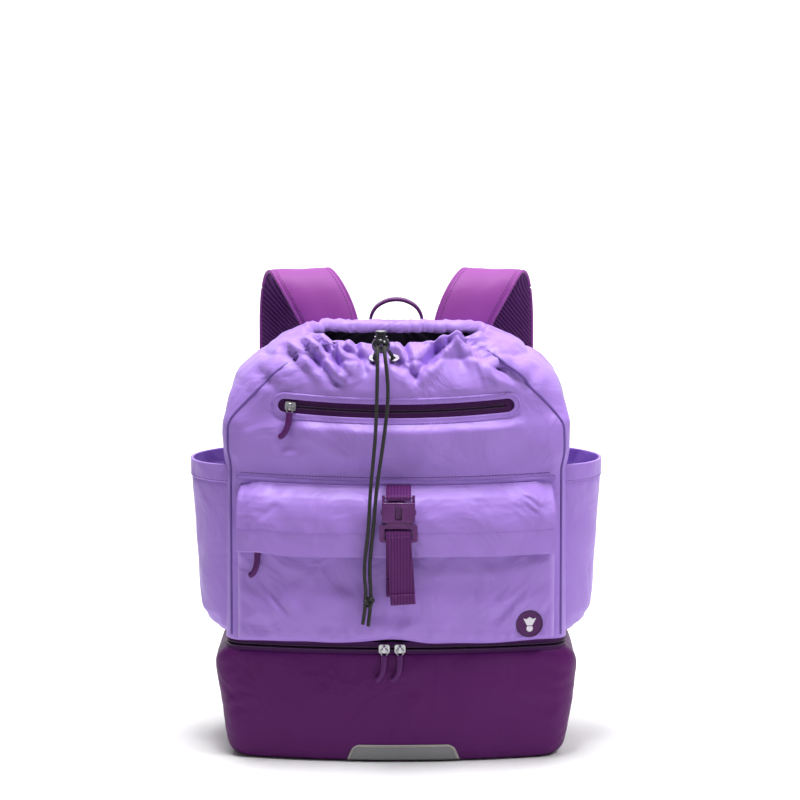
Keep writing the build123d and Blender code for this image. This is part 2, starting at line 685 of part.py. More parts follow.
def strap_anchor():
    """Triangular tab sewn on the lower back for the strap's webbing."""
    face = make_face(Polyline((121, 131), (150, 131), (153, 139), (148, 152), (130, 152), (121, 139), close=True))
    return prism(face, BACK_Y, BACK_Y + 2.5)


def carry_handle():
    """Webbing loop that stands above the back of the mouth."""
    outer = make_face(Polyline((-29, 427.2), (-28, 441), (-22, 452), (-11, 458.6), (0, 460.4), (11, 458.6),
                               (22, 452), (28, 441), (29, 427.2), close=True))
    loop = prism(outer, HANDLE_Y - 9.5, HANDLE_Y + 9.5)
    inner = make_face(Polyline((-26.8, 427.0), (-25.9, 440.4), (-20.6, 450.3), (-10.3, 456.4), (0, 458.1),
                               (10.3, 456.4), (20.6, 450.3), (25.9, 440.4), (26.8, 427.0), close=True))
    loop = loop - prism(inner, HANDLE_Y - 12, HANDLE_Y + 12)
    taper = make_face(Polyline((HANDLE_Y - 1.6, 427), (HANDLE_Y - 9.5, 441), (HANDLE_Y - 9.5, 470),
                               (HANDLE_Y + 9.5, 470), (HANDLE_Y + 9.5, 441), (HANDLE_Y + 1.6, 427), close=True))
    return loop & extrude(Plane.YZ * taper, 60, both=True)


def handle_tab(side):
    """Sewn end of the carry handle on the back of the bag."""
    route = [(BACK_Y + 1.2, 380), (BACK_Y + 1.2, 412), (HANDLE_Y - 1, 421.0), (HANDLE_Y + 1.4, 423.2)]
    return band_yz(route, side * 28, 13, 2.4)


def mirrored(shape):
    """Left-hand twin of a right-hand piece."""
    return mirror(shape, Plane.YZ)


# Outer skins that seat everything sewn on the two compartments
MAIN_SKIN = skin(SHELL_SECTIONS)
TUNNEL_SKIN = skin(TUNNEL_SECTIONS)

save(shoe_box(), "shoe_box_shell")
save(base_board(), "shoe_base_board")
save(base_patch(), "reflective_patch")
save(zip_ring(BOX_TOP_Z, ZIP_LINE_Z - ZIP_GAP / 2, 1.0, TAPE_THICK), "shoe_zip_tape_lower")
save(zip_ring(ZIP_LINE_Z - 2.2, ZIP_LINE_Z - ZIP_GAP / 2, 2.4, 0.6), "shoe_zip_coil_lower")
save(rear_seam(BOX_TOP_Z, ZIP_LINE_Z - 0.3), "rear_seam_lower")
left_turn = angle_at(SHOE_SLIDER_MID_X - SHOE_SLIDER_X)
right_turn = angle_at(SHOE_SLIDER_MID_X + SHOE_SLIDER_X)
print("shoe slider turns", left_turn, right_turn)
shoe_slider = Pos(0, 0, ZIP_LINE_Z) * slider()
shoe_pull = Pos(0, 0, ZIP_LINE_Z) * puller()
save(turned(shoe_slider, left_turn), "shoe_slider_left")
save(turned(shoe_slider, right_turn), "shoe_slider_right")
save(turned(shoe_pull, left_turn), "shoe_puller_left")
save(turned(shoe_pull, right_turn), "shoe_puller_right")

save(main_shell(MAIN_SKIN), "main_shell")
save(divider_floor(), "divider_floor")
save(zip_ring(ZIP_LINE_Z + ZIP_GAP / 2, SHELL_BOTTOM_Z, 1.0, TAPE_THICK), "shoe_zip_tape_upper")
save(zip_ring(ZIP_LINE_Z + ZIP_GAP / 2, ZIP_LINE_Z + 2.2, 2.4, 0.6), "shoe_zip_coil_upper")
save(rear_seam(ZIP_LINE_Z + 0.3, SHELL_BOTTOM_Z), "rear_seam_upper")
save(drawstring_tunnel(TUNNEL_SKIN), "drawstring_tunnel")
save(tunnel_eyelets(TUNNEL_SKIN), "tunnel_eyelets")
save(upper_pouch(), "upper_pouch")
save(upper_zip_tape(), "upper_zip_tape")
save(upper_zip_coil(), "upper_zip_coil")

piping = front_piping(MAIN_SKIN)
save(piping + mirrored(piping), "front_piping")
save(lower_pocket(MAIN_SKIN), "lower_pocket")
save(lower_zip_tape(), "lower_zip_tape")
save(zip_coil(POCKET_R - 2.0, LOW_ZIP_HALF - 2, LOW_ZIP_Z), "lower_zip_coil")
save(flap_seam(), "flap_seam")
save(webbing_anchor(), "webbing_anchor")
save(badge_disc(), "badge_disc")
save(badge_emblem(), "badge_emblem")
pocket_right = side_pocket(MAIN_SKIN)
hem_right = side_pocket_hem(MAIN_SKIN)
save(pocket_right, "side_pocket_right")
save(hem_right, "side_pocket_hem_right")
save(mirrored(pocket_right), "side_pocket_left")
save(mirrored(hem_right), "side_pocket_hem_left")

# Zip sliders on the pockets
upper_place = Pos(0, SAG_PIVOT_Y, SAG_PIVOT_Z) * Rot(SAG_TILT, 0, 0)
upper_back = Rot(-SAG_TILT, 0, 0) * Pos(0, -SAG_PIVOT_Y, -SAG_PIVOT_Z)
upper_turn = Rot(0, 0, UPPER_SLIDER_TURN)
save(upper_place * upper_turn * upper_back * Pos(0, 0, SLOT_MID_Z) * slider(), "upper_slider")
save(upper_place * upper_turn * upper_back * Pos(0, 0, SLOT_MID_Z) * puller(), "upper_puller")
low_turn = angle_at(LOW_SLIDER_X, POCKET_R)
low_step = R_FACE - POCKET_R - 0.4
save(turned(Pos(0, low_step, LOW_ZIP_Z) * slider(), low_turn), "lower_slider")
save(turned(Pos(0, low_step, LOW_ZIP_Z) * puller(), low_turn), "lower_puller")

# Flap, buckle and webbing
flap = flap_panel()
save(flap, "flap_panel")
save(flap_webbing(flap), "flap_webbing")
save(buckle_socket(), "buckle_socket")
save(buckle_plug(), "buckle_plug")
save(buckle_arm(-1), "buckle_arm_left")
save(buckle_arm(1), "buckle_arm_right")
save(plug_webbing(), "plug_webbing")

# Draw cord and its lock
cords = [draw_cord(LEFT_CORD), draw_cord(RIGHT_CORD)]
save(cords[0], "drawcord_left")
save(cords[1], "drawcord_right")
save(cord_knot(cords), "drawcord_knot")
save(cord_lock_body(), "cord_lock_body")
save(cord_lock_button(), "cord_lock_button")

# Back side
save(back_pad() + mirrored(back_pad()), "back_pads")
save(lumbar_pad(), "lumbar_pad")
strap = strap_layer(-(FOAM + MESH) / 2, (FOAM + MESH) / 2 - MESH)
mesh = strap_layer(-(FOAM + MESH) / 2, (FOAM + MESH) / 2) - strap
save(strap, "shoulder_strap_right")
save(mirrored(strap), "shoulder_strap_left")
save(mesh, "strap_mesh_right")
save(mirrored(mesh), "strap_mesh_left")
lock = ADJUSTER_PLACE * adjuster()
save(lock + mirrored(lock), "strap_adjusters")
loop = strap_loop() - strap - mesh
save(loop + mirrored(loop), "strap_loops")
webbing = strap_webbing()
save(webbing + mirrored(webbing), "strap_webbings")
save(strap_anchor() + mirrored(strap_anchor()), "strap_anchors")
save(carry_handle(), "carry_handle")
save(handle_tab(-1) + handle_tab(1), "handle_tabs")
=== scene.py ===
import bpy
import bmesh
import math
from mathutils import Matrix, Vector, noise


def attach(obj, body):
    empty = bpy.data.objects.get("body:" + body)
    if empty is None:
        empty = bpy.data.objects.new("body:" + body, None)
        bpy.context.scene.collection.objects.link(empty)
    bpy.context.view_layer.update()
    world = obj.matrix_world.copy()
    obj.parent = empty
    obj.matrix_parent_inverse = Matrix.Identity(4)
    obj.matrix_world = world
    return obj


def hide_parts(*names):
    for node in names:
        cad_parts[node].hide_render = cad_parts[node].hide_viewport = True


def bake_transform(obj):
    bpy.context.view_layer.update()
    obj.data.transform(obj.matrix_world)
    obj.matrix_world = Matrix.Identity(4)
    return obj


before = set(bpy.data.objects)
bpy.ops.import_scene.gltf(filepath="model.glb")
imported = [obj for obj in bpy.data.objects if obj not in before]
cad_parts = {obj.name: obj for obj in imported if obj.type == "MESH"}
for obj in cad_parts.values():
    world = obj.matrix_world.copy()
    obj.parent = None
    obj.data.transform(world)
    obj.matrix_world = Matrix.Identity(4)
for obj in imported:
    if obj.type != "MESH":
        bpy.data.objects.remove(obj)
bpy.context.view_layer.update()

MM = 0.001
AXIS_Y = 612.0                                       # the curved front turns about this line
R_FACE, R_POCKET, R_FLAP = 698.0, 712.0, 721.0       # faces of the body, the lower pocket and the flap
CUT = (175.0, 698.0, 85.0, 22.0, 24.0)               # outline where the two compartments meet
ZIP_Z = 120.5
SLOT_HALF, SLOT_GAP, SLOT_END_Z = 112.0, 7.5, 369.0  # upper zip: half length, half opening, height of its ends
SAG_R, SAG_Z = 1250.0, 1614.0                        # radius and centre of the arc it sags along
POCKET_HALF, FLAP_HALF = 164.0, 162.6
CORD_THICK, WEB_THICK = 3.7, 1.6                     # thickness of cords and of webbing
PAD_FOOT = 85.2                                      # where the back pads stand on the back panel
X_WAY = Vector((1, 0, 0))

# Outline stations: height, half width, front radius, back, front and back corner radii
BODY = [
    (127.0, 175.0, 698.0, 85.0, 22.0, 24.0),
    (345.0, 174.0, 698.0, 85.0, 24.0, 24.0),
    (372.0, 170.0, 698.0, 85.0, 42.0, 26.0),
    (382.0, 167.4, 697.0, 84.8, 51.0, 28.0),
    (392.0, 163.0, 694.4, 84.5, 58.0, 30.0),
    (402.0, 153.0, 690.4, 84.0, 60.0, 32.0),
    (410.0, 143.0, 686.0, 83.5, 61.0, 35.0),
    (416.0, 134.0, 680.5, 82.5, 58.0, 38.0),
    (422.0, 124.0, 675.0, 81.5, 54.0, 40.0),
    (427.0, 114.0, 671.0, 81.0, 50.0, 41.0),
    (431.0, 105.0, 668.5, 80.5, 48.0, 42.0),
    (435.5, 96.0, 665.5, 80.0, 46.0, 42.0),
]
SHOE = [
    (0.0, 160.0, 683.0, 72.0, 24.0, 24.0),
    (1.4, 166.0, 690.0, 78.0, 25.0, 25.0),
    (4.5, 170.5, 693.6, 81.6, 26.0, 26.0),
    (11.0, 174.2, 695.4, 83.2, 27.0, 27.0),
    (40.0, 179.4, 696.8, 84.2, 28.0, 28.0),
    (75.0, 184.4, 698.0, 85.0, 29.0, 29.0),
    (96.0, 186.8, 698.4, 85.2, 30.0, 30.0),
    (105.0, 184.6, 698.5, 85.2, 28.0, 28.0),
    (111.0, 179.4, 698.3, 85.0, 25.0, 26.0),
    (114.4, 175.4, 697.4, 84.6, 22.0, 24.0),
]


def lerp(a, b, t):
    return a + (b - a) * t


def clamp(t):
    return min(max(t, 0.0), 1.0)


def smooth(t):
    t = clamp(t)
    return t * t * (3 - 2 * t)


def bell(d):
    return math.exp(-d * d)


def hermite(table, z):
    """Smooth section at height z through a table of sections."""
    if z <= table[0][0]:
        return table[0]
    if z >= table[-1][0]:
        return table[-1]
    i = max(k for k in range(len(table) - 1) if table[k][0] <= z)
    p0, p1 = table[i], table[i + 1]
    before = table[max(i - 1, 0)]
    after = table[min(i + 2, len(table) - 1)]
    h = p1[0] - p0[0]
    t = (z - p0[0]) / h
    out = [z]
    for k in range(1, 6):
        d = (p1[k] - p0[k]) / h
        d0 = (p0[k] - before[k]) / (p0[0] - before[0]) if i > 0 else d
        d1 = (after[k] - p1[k]) / (after[0] - p1[0]) if i + 2 < len(table) else d
        m0 = 0 if d * d0 <= 0 else 2 * d * d0 / (d + d0)
        m1 = 0 if d * d1 <= 0 else 2 * d * d1 / (d + d1)
        if i == 0:
            m0 = d
        if i + 2 >= len(table):
            m1 = d
        a = (2 * t ** 3 - 3 * t * t + 1) * p0[k] + (t ** 3 - 2 * t * t + t) * h * m0
        b = (-2 * t ** 3 + 3 * t * t) * p1[k] + (t ** 3 - t * t) * h * m1
        out.append(a + b)
    return tuple(out)


def arc_y(radius, x):
    """Depth of the point at x on a circle about the front's axis."""
    return AXIS_Y - math.sqrt(radius * radius - x * x)


def on_front(x, z, radius, base=R_FACE):
    """Point at a radius from the front's axis, at the turn where x lies on the base radius."""
    a = math.asin(x / base)
    return Vector((radius * math.sin(a), AXIS_Y - radius * math.cos(a), z))


def front_normal(x):
    a = math.asin(x / R_FACE)
    return Vector((math.sin(a), -math.cos(a), 0))


def circle(count):
    """Cosine and sine at even steps round a circle."""
    return [(math.cos(2 * math.pi * i / count), math.sin(2 * math.pi * i / count)) for i in range(count)]


COUNTS = (60, 12, 36, 10, 46)                        # points on front, corner, side, back corner and back


def half_ring(section):
    """Plan points of the right half, front centre to back centre, with outward normals."""
    _, half, radius, back, rf, rb = section
    cx = half - rf
    cy = arc_y(radius - rf, cx)
    turn = math.atan2(cx, AXIS_Y - cy)
    points = []
    for i in range(COUNTS[0]):
        a = turn * i / COUNTS[0]
        points.append((radius * math.sin(a), AXIS_Y - radius * math.cos(a), math.sin(a), -math.cos(a)))
    for i in range(COUNTS[1]):
        a = (math.pi / 2 - turn) * (1 - i / COUNTS[1])
        points.append((cx + rf * math.cos(a), cy - rf * math.sin(a), math.cos(a), -math.sin(a)))
    for i in range(COUNTS[2]):
        points.append((half, lerp(cy, back - rb, i / COUNTS[2]), 1.0, 0.0))
    for i in range(COUNTS[3]):
        a = math.pi / 2 * i / COUNTS[3]
        points.append((half - rb + rb * math.cos(a), back - rb + rb * math.sin(a), math.cos(a), math.sin(a)))
    for i in range(COUNTS[4] + 1):
        points.append((lerp(half - rb, 0, i / COUNTS[4]), back, 0.0, 1.0))
    return points


def ring(section):
    """Full plan ring, anticlockwise seen from above, starting at the front centre."""
    right = half_ring(section)
    left = [(-x, y, -nx, ny) for x, y, nx, ny in right[1:-1]]
    return right + left[::-1]


RING_LEN = 2 * sum(COUNTS)


def new_mesh(name, verts, faces, materials=None, smooth_faces=True):
    """Piece from points in millimetres, with its normals made to point outward."""
    mesh = bpy.data.meshes.new(name)
    mesh.from_pydata([tuple(c * MM for c in v) for v in verts], [], faces)
    mesh.validate()
    bm = bmesh.new()
    bm.from_mesh(mesh)
    bmesh.ops.recalc_face_normals(bm, faces=bm.faces)
    bm.to_mesh(mesh)
    bm.free()
    for p in mesh.polygons:
        p.use_smooth = smooth_faces
    obj = bpy.data.objects.new(name, mesh)
    bpy.context.scene.collection.objects.link(obj)
    for m in materials or []:
        mesh.materials.append(m)
    return obj


def grid_faces(rows, cols, closed):
    faces = []
    for r in range(rows - 1):
        for c in range(cols if closed else cols - 1):
            d = (c + 1) % cols
            faces.append((r * cols + c, r * cols + d, (r + 1) * cols + d, (r + 1) * cols + c))
    return faces


def apply_modifiers(obj):
    """Keep the mesh that the modifiers give, and drop them."""
    bpy.context.view_layer.update()
    deps = bpy.context.evaluated_depsgraph_get()
    mesh = bpy.data.meshes.new_from_object(obj.evaluated_get(deps))
    obj.modifiers.clear()
    old = obj.data
    obj.data = mesh
    bpy.data.meshes.remove(old)
    return obj


def subdivide(obj):
    sub = obj.modifiers.new("sub", "SUBSURF")
    sub.levels = sub.render_levels = 1
    return apply_modifiers(obj)


def lofted(name, rows, mats, capped=False):
    """Mesh through rings of points; capped closes both ends."""
    cols = len(rows[0])
    faces = grid_faces(len(rows), cols, True)
    if capped:
        faces += [tuple(range(cols)), tuple((len(rows) - 1) * cols + k for k in range(cols))[::-1]]
    return new_mesh(name, [v for row in rows for v in row], faces, mats)


# ------------------------------------------------------------------ materials

def node(tree, kind, **inputs):
    n = tree.nodes.new(kind)
    for key, value in inputs.items():
        n.inputs[key.replace("_", " ")].default_value = value
    return n


def textured(tree, kind, **inputs):
    """Texture node laid over the piece in its own coordinates."""
    n = node(tree, kind, **inputs)
    tree.links.new(tree.nodes["Texture Coordinate"].outputs["Object"], n.inputs["Vector"])
    return n


def weighted(tree, socket, factor, plus=None):
    """A value times a factor, plus another value."""
    n = tree.nodes.new("ShaderNodeMath")
    n.operation = "MULTIPLY_ADD"
    n.inputs[1].default_value = factor
    n.inputs[2].default_value = 0.0
    tree.links.new(socket, n.inputs[0])
    if plus is not None:
        tree.links.new(plus, n.inputs[2])
    return n.outputs[0]


def tinted(tree, amount, base, color):
    """Colour laid over a base, a colour or a socket, by an amount."""
    mix = tree.nodes.new("ShaderNodeMix")
    mix.data_type = "RGBA"
    mix.inputs[7].default_value = (*color, 1)
    tree.links.new(amount, mix.inputs[0])
    if isinstance(base, tuple):
        mix.inputs[6].default_value = (*base, 1)
    else:
        tree.links.new(base, mix.inputs[6])
    return mix.outputs[2]


def bands(tree, axis, pitch, distortion):
    """Wave texture with one band to each pitch."""
    wave = textured(tree, "ShaderNodeTexWave", Scale=math.pi / (10 * pitch), Distortion=distortion)
    wave.bands_direction = axis
    return wave


def material(name, color, rough=0.6, metal=0.0, sheen=0.0, coat=0.0, weave=0.0, pitch=0.0011, ribs=None,
             grain=0.0, grain_scale=60.0, vary=0.08, crease=0.0, wear_and_highlight=0.0, spec=0.5, rib_color=None):
    """Procedural material: woven or moulded, with colour variation, creases, and lighter edges that are partly
    wear and partly a painted highlight.
    """
    mat = bpy.data.materials.new(name)
    mat.use_nodes = True
    tree = mat.node_tree
    tree.nodes.clear()
    out = tree.nodes.new("ShaderNodeOutputMaterial")
    shader = tree.nodes.new("ShaderNodeBsdfPrincipled")
    tree.links.new(shader.outputs[0], out.inputs[0])
    shader.inputs["Roughness"].default_value = rough
    shader.inputs["Metallic"].default_value = metal
    shader.inputs["Sheen Weight"].default_value = sheen
    shader.inputs["Sheen Roughness"].default_value = 0.5
    shader.inputs["Coat Weight"].default_value = coat
    shader.inputs["Specular IOR Level"].default_value = spec
    if not vary:
        shader.inputs["Base Color"].default_value = (*color, 1)
        return mat
    tree.nodes.new("ShaderNodeTexCoord")
    large = textured(tree, "ShaderNodeTexNoise", Scale=9.0, Detail=3.0, Roughness=0.55)
    fine = textured(tree, "ShaderNodeTexNoise", Scale=grain_scale * 12, Detail=2.0)
    mixed = weighted(tree, fine.outputs["Fac"], 0.55, weighted(tree, large.outputs["Fac"], 0.45))
    dark = tuple(c * (1 - vary) for c in color)
    light = tuple(min(c * (1 + vary), 1.0) for c in color)
    color_out = tinted(tree, mixed, dark, light)
    # Convex edges lightened by pointiness: partly edge wear, partly a painted highlight.
    if wear_and_highlight:
        geo = tree.nodes.new("ShaderNodeNewGeometry")
        edge = tree.nodes.new("ShaderNodeMapRange")
        for k, value in ((1, 0.52), (2, 0.62), (4, wear_and_highlight)):
            edge.inputs[k].default_value = value
        tree.links.new(geo.outputs["Pointiness"], edge.inputs[0])
        color_out = tinted(tree, edge.outputs[0], color_out, [min(c * 1.6 + 0.05, 1.0) for c in color])
    heights = []
    if weave:
        for axis in ("X", "Z", "Y"):
            wave = bands(tree, axis, pitch, 0.6)
            wave.inputs["Detail"].default_value = 1.0
            heights.append((wave.outputs["Fac"], weave / 3))
    if ribs:
        axis, rib_pitch, strength = ribs
        wave = bands(tree, axis, rib_pitch, 0.15)
        heights.append((wave.outputs["Fac"], strength))
        if rib_color:
            color_out = tinted(tree, wave.outputs["Fac"], color_out, rib_color)
    tree.links.new(color_out, shader.inputs["Base Color"])
    if grain:
        heights.append((fine.outputs["Fac"], grain))
    if crease:
        wide = textured(tree, "ShaderNodeTexNoise", Scale=17.0, Detail=3.0, Roughness=0.45, Distortion=0.9)
        heights.append((wide.outputs["Fac"], crease))
    total = None
    for socket, strength in heights:
        total = weighted(tree, socket, strength, total)
    if total is not None:
        bump = node(tree, "ShaderNodeBump", Strength=1.0, Distance=0.001)
        tree.links.new(total, bump.inputs["Height"])
        tree.links.new(bump.outputs[0], shader.inputs["Normal"])
    return mat


LAVENDER = material("lavender nylon", (0.385, 0.218, 0.700), 0.46, sheen=0.04, weave=0.03, vary=0.06,
                    crease=8.0,
                    spec=0.35)
# Darker lavender; on the flap seam it partly paints the shadow line above the flap.
LAVENDER_DARK = material("lavender binding", (0.27, 0.145, 0.53), 0.6, sheen=0.05, weave=0.12, vary=0.08)
PLUM = material("plum nylon", (0.100, 0.009, 0.118), 0.50, weave=0.04, vary=0.07, crease=5.0, spec=0.16)
STRAP = material("strap nylon", (0.270, 0.052, 0.300), 0.55, sheen=0.03, weave=0.04, vary=0.06,
                 crease=1.2, spec=0.25)
MESH = material("spacer mesh", (0.048, 0.008, 0.070), 0.75, sheen=0.05, ribs=("DIAGONAL", 0.0024, 0.6),
                vary=0.3,
                grain=0.3, grain_scale=40, rib_color=(0.150, 0.036, 0.200), spec=0.2)
LINING = material("lining", (0.024, 0.018, 0.034), 0.8, weave=0.15, vary=0.2, spec=0.15)
WEBBING = material("webbing", (0.135, 0.019, 0.160), 0.55, ribs=("X", 0.0031, 0.30), weave=0.2,
                   vary=0.14, spec=0.25,
                   rib_color=(0.070, 0.008, 0.088))
TAPE = material("zip tape", (0.058, 0.009, 0.076), 0.7, spec=0.2, weave=0.25, pitch=0.0009, vary=0.15)
COIL = material("zip coil", (0.040, 0.008, 0.052), 0.30, grain=0.1, vary=0.2)
THREAD = material("thread", (0.30, 0.16, 0.55), 0.7, vary=0.1, grain=0.1)
SEAM_THREAD = material("seam thread", (0.095, 0.040, 0.230), 0.7, vary=0.1, grain=0.1)
PLUM_THREAD = material("plum thread", (0.06, 0.012, 0.08), 0.7, vary=0.1, grain=0.1)
# Piping darker than the lavender body: painted shade for the shadow line along the corner seams.
PIPING_PAINTED_SHADE = material("piping", (0.150, 0.070, 0.350), 0.6, weave=0.2, vary=0.12, sheen=0.1)
# The buckle parts' lighter edges are partly a painted highlight, partly wear.
PLASTIC = material("plum acetal", (0.105, 0.010, 0.130), 0.26, coat=0.2, grain=0.04, vary=0.06,
                   wear_and_highlight=0.35, spec=0.35)
METAL = material("silver", (0.42, 0.42, 0.44), 0.30, metal=1.0, grain=0.05, vary=0.15, wear_and_highlight=0.5)
PULL = material("pull rubber", (0.095, 0.010, 0.125), 0.45, grain=0.12, vary=0.1, spec=0.3)
CORD = material("cord", (0.016, 0.015, 0.014), 0.65, ribs=("DIAGONAL", 0.0018, 0.25), vary=0.35, sheen=0.05)
LOCK = material("cord lock", (0.018, 0.017, 0.022), 0.22, coat=0.4, grain=0.03, vary=0.1, wear_and_highlight=0.2)
PATCH = material("reflective patch", (0.215, 0.215, 0.222), 0.42, metal=0.15, weave=0.15, vary=0.08)
EDGING = material("patch edging", (0.46, 0.43, 0.40), 0.6, weave=0.2, vary=0.08)
BADGE = material("badge rubber", (0.085, 0.013, 0.110), 0.42, grain=0.10, vary=0.06, spec=0.3)
BADGE_RIM = material("badge rim", (0.050, 0.008, 0.068), 0.40, grain=0.10, vary=0.06, spec=0.4)
MARK = material("badge mark", (0.80, 0.76, 0.85), 0.5, grain=0.05, vary=0.03)
GUNMETAL = material("gunmetal", (0.10, 0.09, 0.11), 0.32, metal=1.0, grain=0.05, vary=0.15, wear_and_highlight=0.4)
BOARD = material("board", (0.05, 0.045, 0.06), 0.7, grain=0.2, vary=0.1)

# Finishes of the CAD nodes that stay visible; the hard ones are also shaded smooth
CAD_MATERIALS = {
    "shoe_zip_tape_lower": TAPE, "shoe_zip_tape_upper": TAPE, "upper_zip_tape": TAPE, "lower_zip_tape": TAPE,
    "lower_zip_coil": COIL, "shoe_base_board": BOARD, "badge_disc": BADGE, "badge_emblem": MARK,
    "tunnel_eyelets": GUNMETAL,
}
HARD = {
    "shoe_slider_left": METAL, "shoe_slider_right": METAL, "upper_slider": METAL, "lower_slider": METAL,
    "buckle_socket": PLASTIC, "buckle_plug": PLASTIC, "buckle_arm_left": PLASTIC, "buckle_arm_right": PLASTIC,
    "strap_adjusters": PLASTIC, "cord_lock_body": LOCK, "cord_lock_button": LOCK,
}


# ------------------------------------------------------------------ camera, floor, light

CAM_TARGET = Vector((0.004, -0.088, 0.376))
CAM_DISTANCE = 2.3
CAM_ELEVATION = math.radians(8)
CAM_SENSOR = 36
VIEW_WIDTH = 0.8                                     # metres across the picture at the target
cam = bpy.data.objects.new("camera", bpy.data.cameras.new("camera"))
cam.data.lens = CAM_SENSOR * CAM_DISTANCE / VIEW_WIDTH
cam.data.sensor_width = CAM_SENSOR
cam.data.clip_end = 50
direction = Vector((0, math.cos(CAM_ELEVATION), -math.sin(CAM_ELEVATION)))
cam.location = CAM_TARGET - direction * CAM_DISTANCE
cam.rotation_euler = direction.to_track_quat("-Z", "Y").to_euler()
bpy.context.scene.collection.objects.link(cam)
bpy.context.scene.camera = cam
bpy.context.scene.view_settings.view_transform = "Standard"

world = bpy.data.worlds.new("studio")
bpy.context.scene.world = world
world.use_nodes = True
backlight = world.node_tree.nodes["Background"]
backlight.inputs[0].default_value = (1.0, 1.0, 1.0, 1)
backlight.inputs[1].default_value = 0.12


def area_light(name, place, target, size, power):
    """Rectangular lamp at a place, aimed at a target."""
    light = bpy.data.lights.new(name, "AREA")
    light.shape = "RECTANGLE"
    light.size, light.size_y = size
    light.energy = power
    obj = bpy.data.objects.new(name, light)
    obj.location = place
    obj.rotation_euler = (Vector(target) - Vector(place)).to_track_quat("-Z", "Y").to_euler()
    bpy.context.scene.collection.objects.link(obj)


area_light("key", (1.35, -0.72, 1.85), (0, 0, 0.28), (0.45, 0.45), 20)
area_light("fill", (-1.5, -1.6, 0.9), (0, 0, 0.25), (1.0, 1.4), 0.7)
area_light("top", (-0.1, -0.22, 2.15), (0, 0, 0.3), (0.6, 0.6), 41)
area_light("backdrop", (0.0, 1.2, 2.6), (0, 3.6, 0.4), (3.5, 1.2), 140)

sweep_line = [(-5000, 0), (1500, 0), (2300, 12), (2900, 90), (3350, 330), (3600, 760), (3700, 1400),
              (3700, 5200)]
floor = new_mesh("floor", [(x, y, z) for y, z in sweep_line for x in (-5500, 5500)],
                 [(2 * i, 2 * i + 1, 2 * i + 3, 2 * i + 2) for i in range(len(sweep_line) - 1)])
floor.data.materials.append(material("paper floor", (0.90, 0.90, 0.90), 0.8, vary=0.0))


# ------------------------------------------------------------------ cords

LEFT_CORD = [(-22.2, -69.4, 414.4), (-18.1, -80, 432), (-18.1, -113, 432), (-18.6, -114, 385),
             (-20.5, -115.5, 338), (-25.5, -114.5, 290), (-27.6, -114, 245), (-32.5, -113, 210),
             (-29.2, -112, 176), (-33.5, -111.5, 152)]
RIGHT_CORD = [(-1.8, -69.0, 414.4), (-11.9, -80, 432), (-11.9, -113, 432), (-6.6, -114.5, 388),
              (-12.2, -115, 338), (-19.5, -115.5, 290), (-23, -114, 245), (-27, -112, 210),
              (-24.3, -111, 176), (-28, -110.5, 150)]


def spline_piece(name, points, diameter, mat):
    """Cord as a NURBS curve through a route's control points."""
    curve = bpy.data.curves.new(name, "CURVE")
    curve.dimensions = "3D"
    spline = curve.splines.new("NURBS")
    spline.points.add(len(points) - 1)
    for p, at in zip(spline.points, points):
        p.co = (*[c * MM for c in at], 1)
    spline.order_u = 3
    spline.use_endpoint_u = True
    spline.resolution_u = 10
    curve.bevel_depth = diameter / 2 * MM
    curve.bevel_resolution = 4
    curve.use_fill_caps = True
    curve.materials.append(mat)
    obj = bpy.data.objects.new(name, curve)
    bpy.context.scene.collection.objects.link(obj)
    return obj


def mesh_along(name, points, diameter, mat):
    """Mesh tube along a route's NURBS spline, and the line that the spline follows."""
    route = spline_piece(name + "_route", points, diameter, mat)
    thick = route.data.bevel_depth
    route.data.bevel_depth = 0
    bpy.context.view_layer.update()
    line = [v.co.copy() for v in bpy.data.meshes.new_from_object(route).vertices]
    route.data.bevel_depth = thick
    bpy.context.view_layer.update()
    mesh = bpy.data.meshes.new_from_object(route)
    mesh.materials.clear()
    mesh.materials.append(mat)
    for polygon in mesh.polygons:
        polygon.use_smooth = True
    obj = bpy.data.objects.new(name, mesh)
    bpy.context.scene.collection.objects.link(obj)
    bpy.data.objects.remove(route)
    return obj, line


def drawn_with_lock(piece):
    """Bakes the piece's placement into its mesh."""
    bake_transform(piece)


cord_left, left_line = mesh_along("draw_cord_left", LEFT_CORD, CORD_THICK, CORD)
cord_right, right_line = mesh_along("draw_cord_right", RIGHT_CORD, CORD_THICK, CORD)
drawn_with_lock(cord_left)
drawn_with_lock(cord_right)
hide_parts("drawcord_left")
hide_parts("drawcord_right")

KNOT = Vector((-26.8, -111.6, 175.0))
knot_points = []
for i in range(72):
    a = 2 * math.pi * i / 72
    knot_points.append((KNOT.x + 2.3 * (math.sin(a) + 2 * math.sin(2 * a)) * 0.62,
                        KNOT.y + 2.4 * math.sin(3 * a),
                        KNOT.z + 2.5 * (math.cos(a) - 2 * math.cos(2 * a)) * 0.62))
knot, _ = mesh_along("draw_cord_knot", knot_points, CORD_THICK, CORD)
drawn_with_lock(knot)
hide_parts("drawcord_knot")


# ------------------------------------------------------------------ main compartment

FOLDS = [
    # start x, z; end x, z; width; depth
    (-97, 430, -60, 391, 5.6, 5.2), (-80, 431, -46, 398, 4.2, 4.8), (-64, 431, -56, 402, 3.6, 3.8),
    (-114, 426, -90, 402, 5.6, 3.8), (-5, 416, 19, 398, 4.8, 4.6), (42, 424, 19, 398, 5.0, 5.2),
    (8, 426, 16, 402, 3.2, 3.2), (54, 430, 36, 410, 4.4, 3.8), (70, 432, 104, 405, 6.0, 5.0),
    (104, 405, 138, 382, 6.0, 3.8), (87, 430, 118, 408, 4.6, 3.6), (108, 426, 132, 403, 5.4, 3.2),
    (-41, 426, -30, 402, 3.8, 3.0), (-52, 420, -22, 411, 3.4, 2.8), (-136, 398, -112, 378, 7.0, 2.6),
    (138, 400, 122, 370, 7.0, 2.4), (-60, 391, -48, 376, 8.0, 2.0), (19, 398, 27, 378, 8.0, 1.8),
]


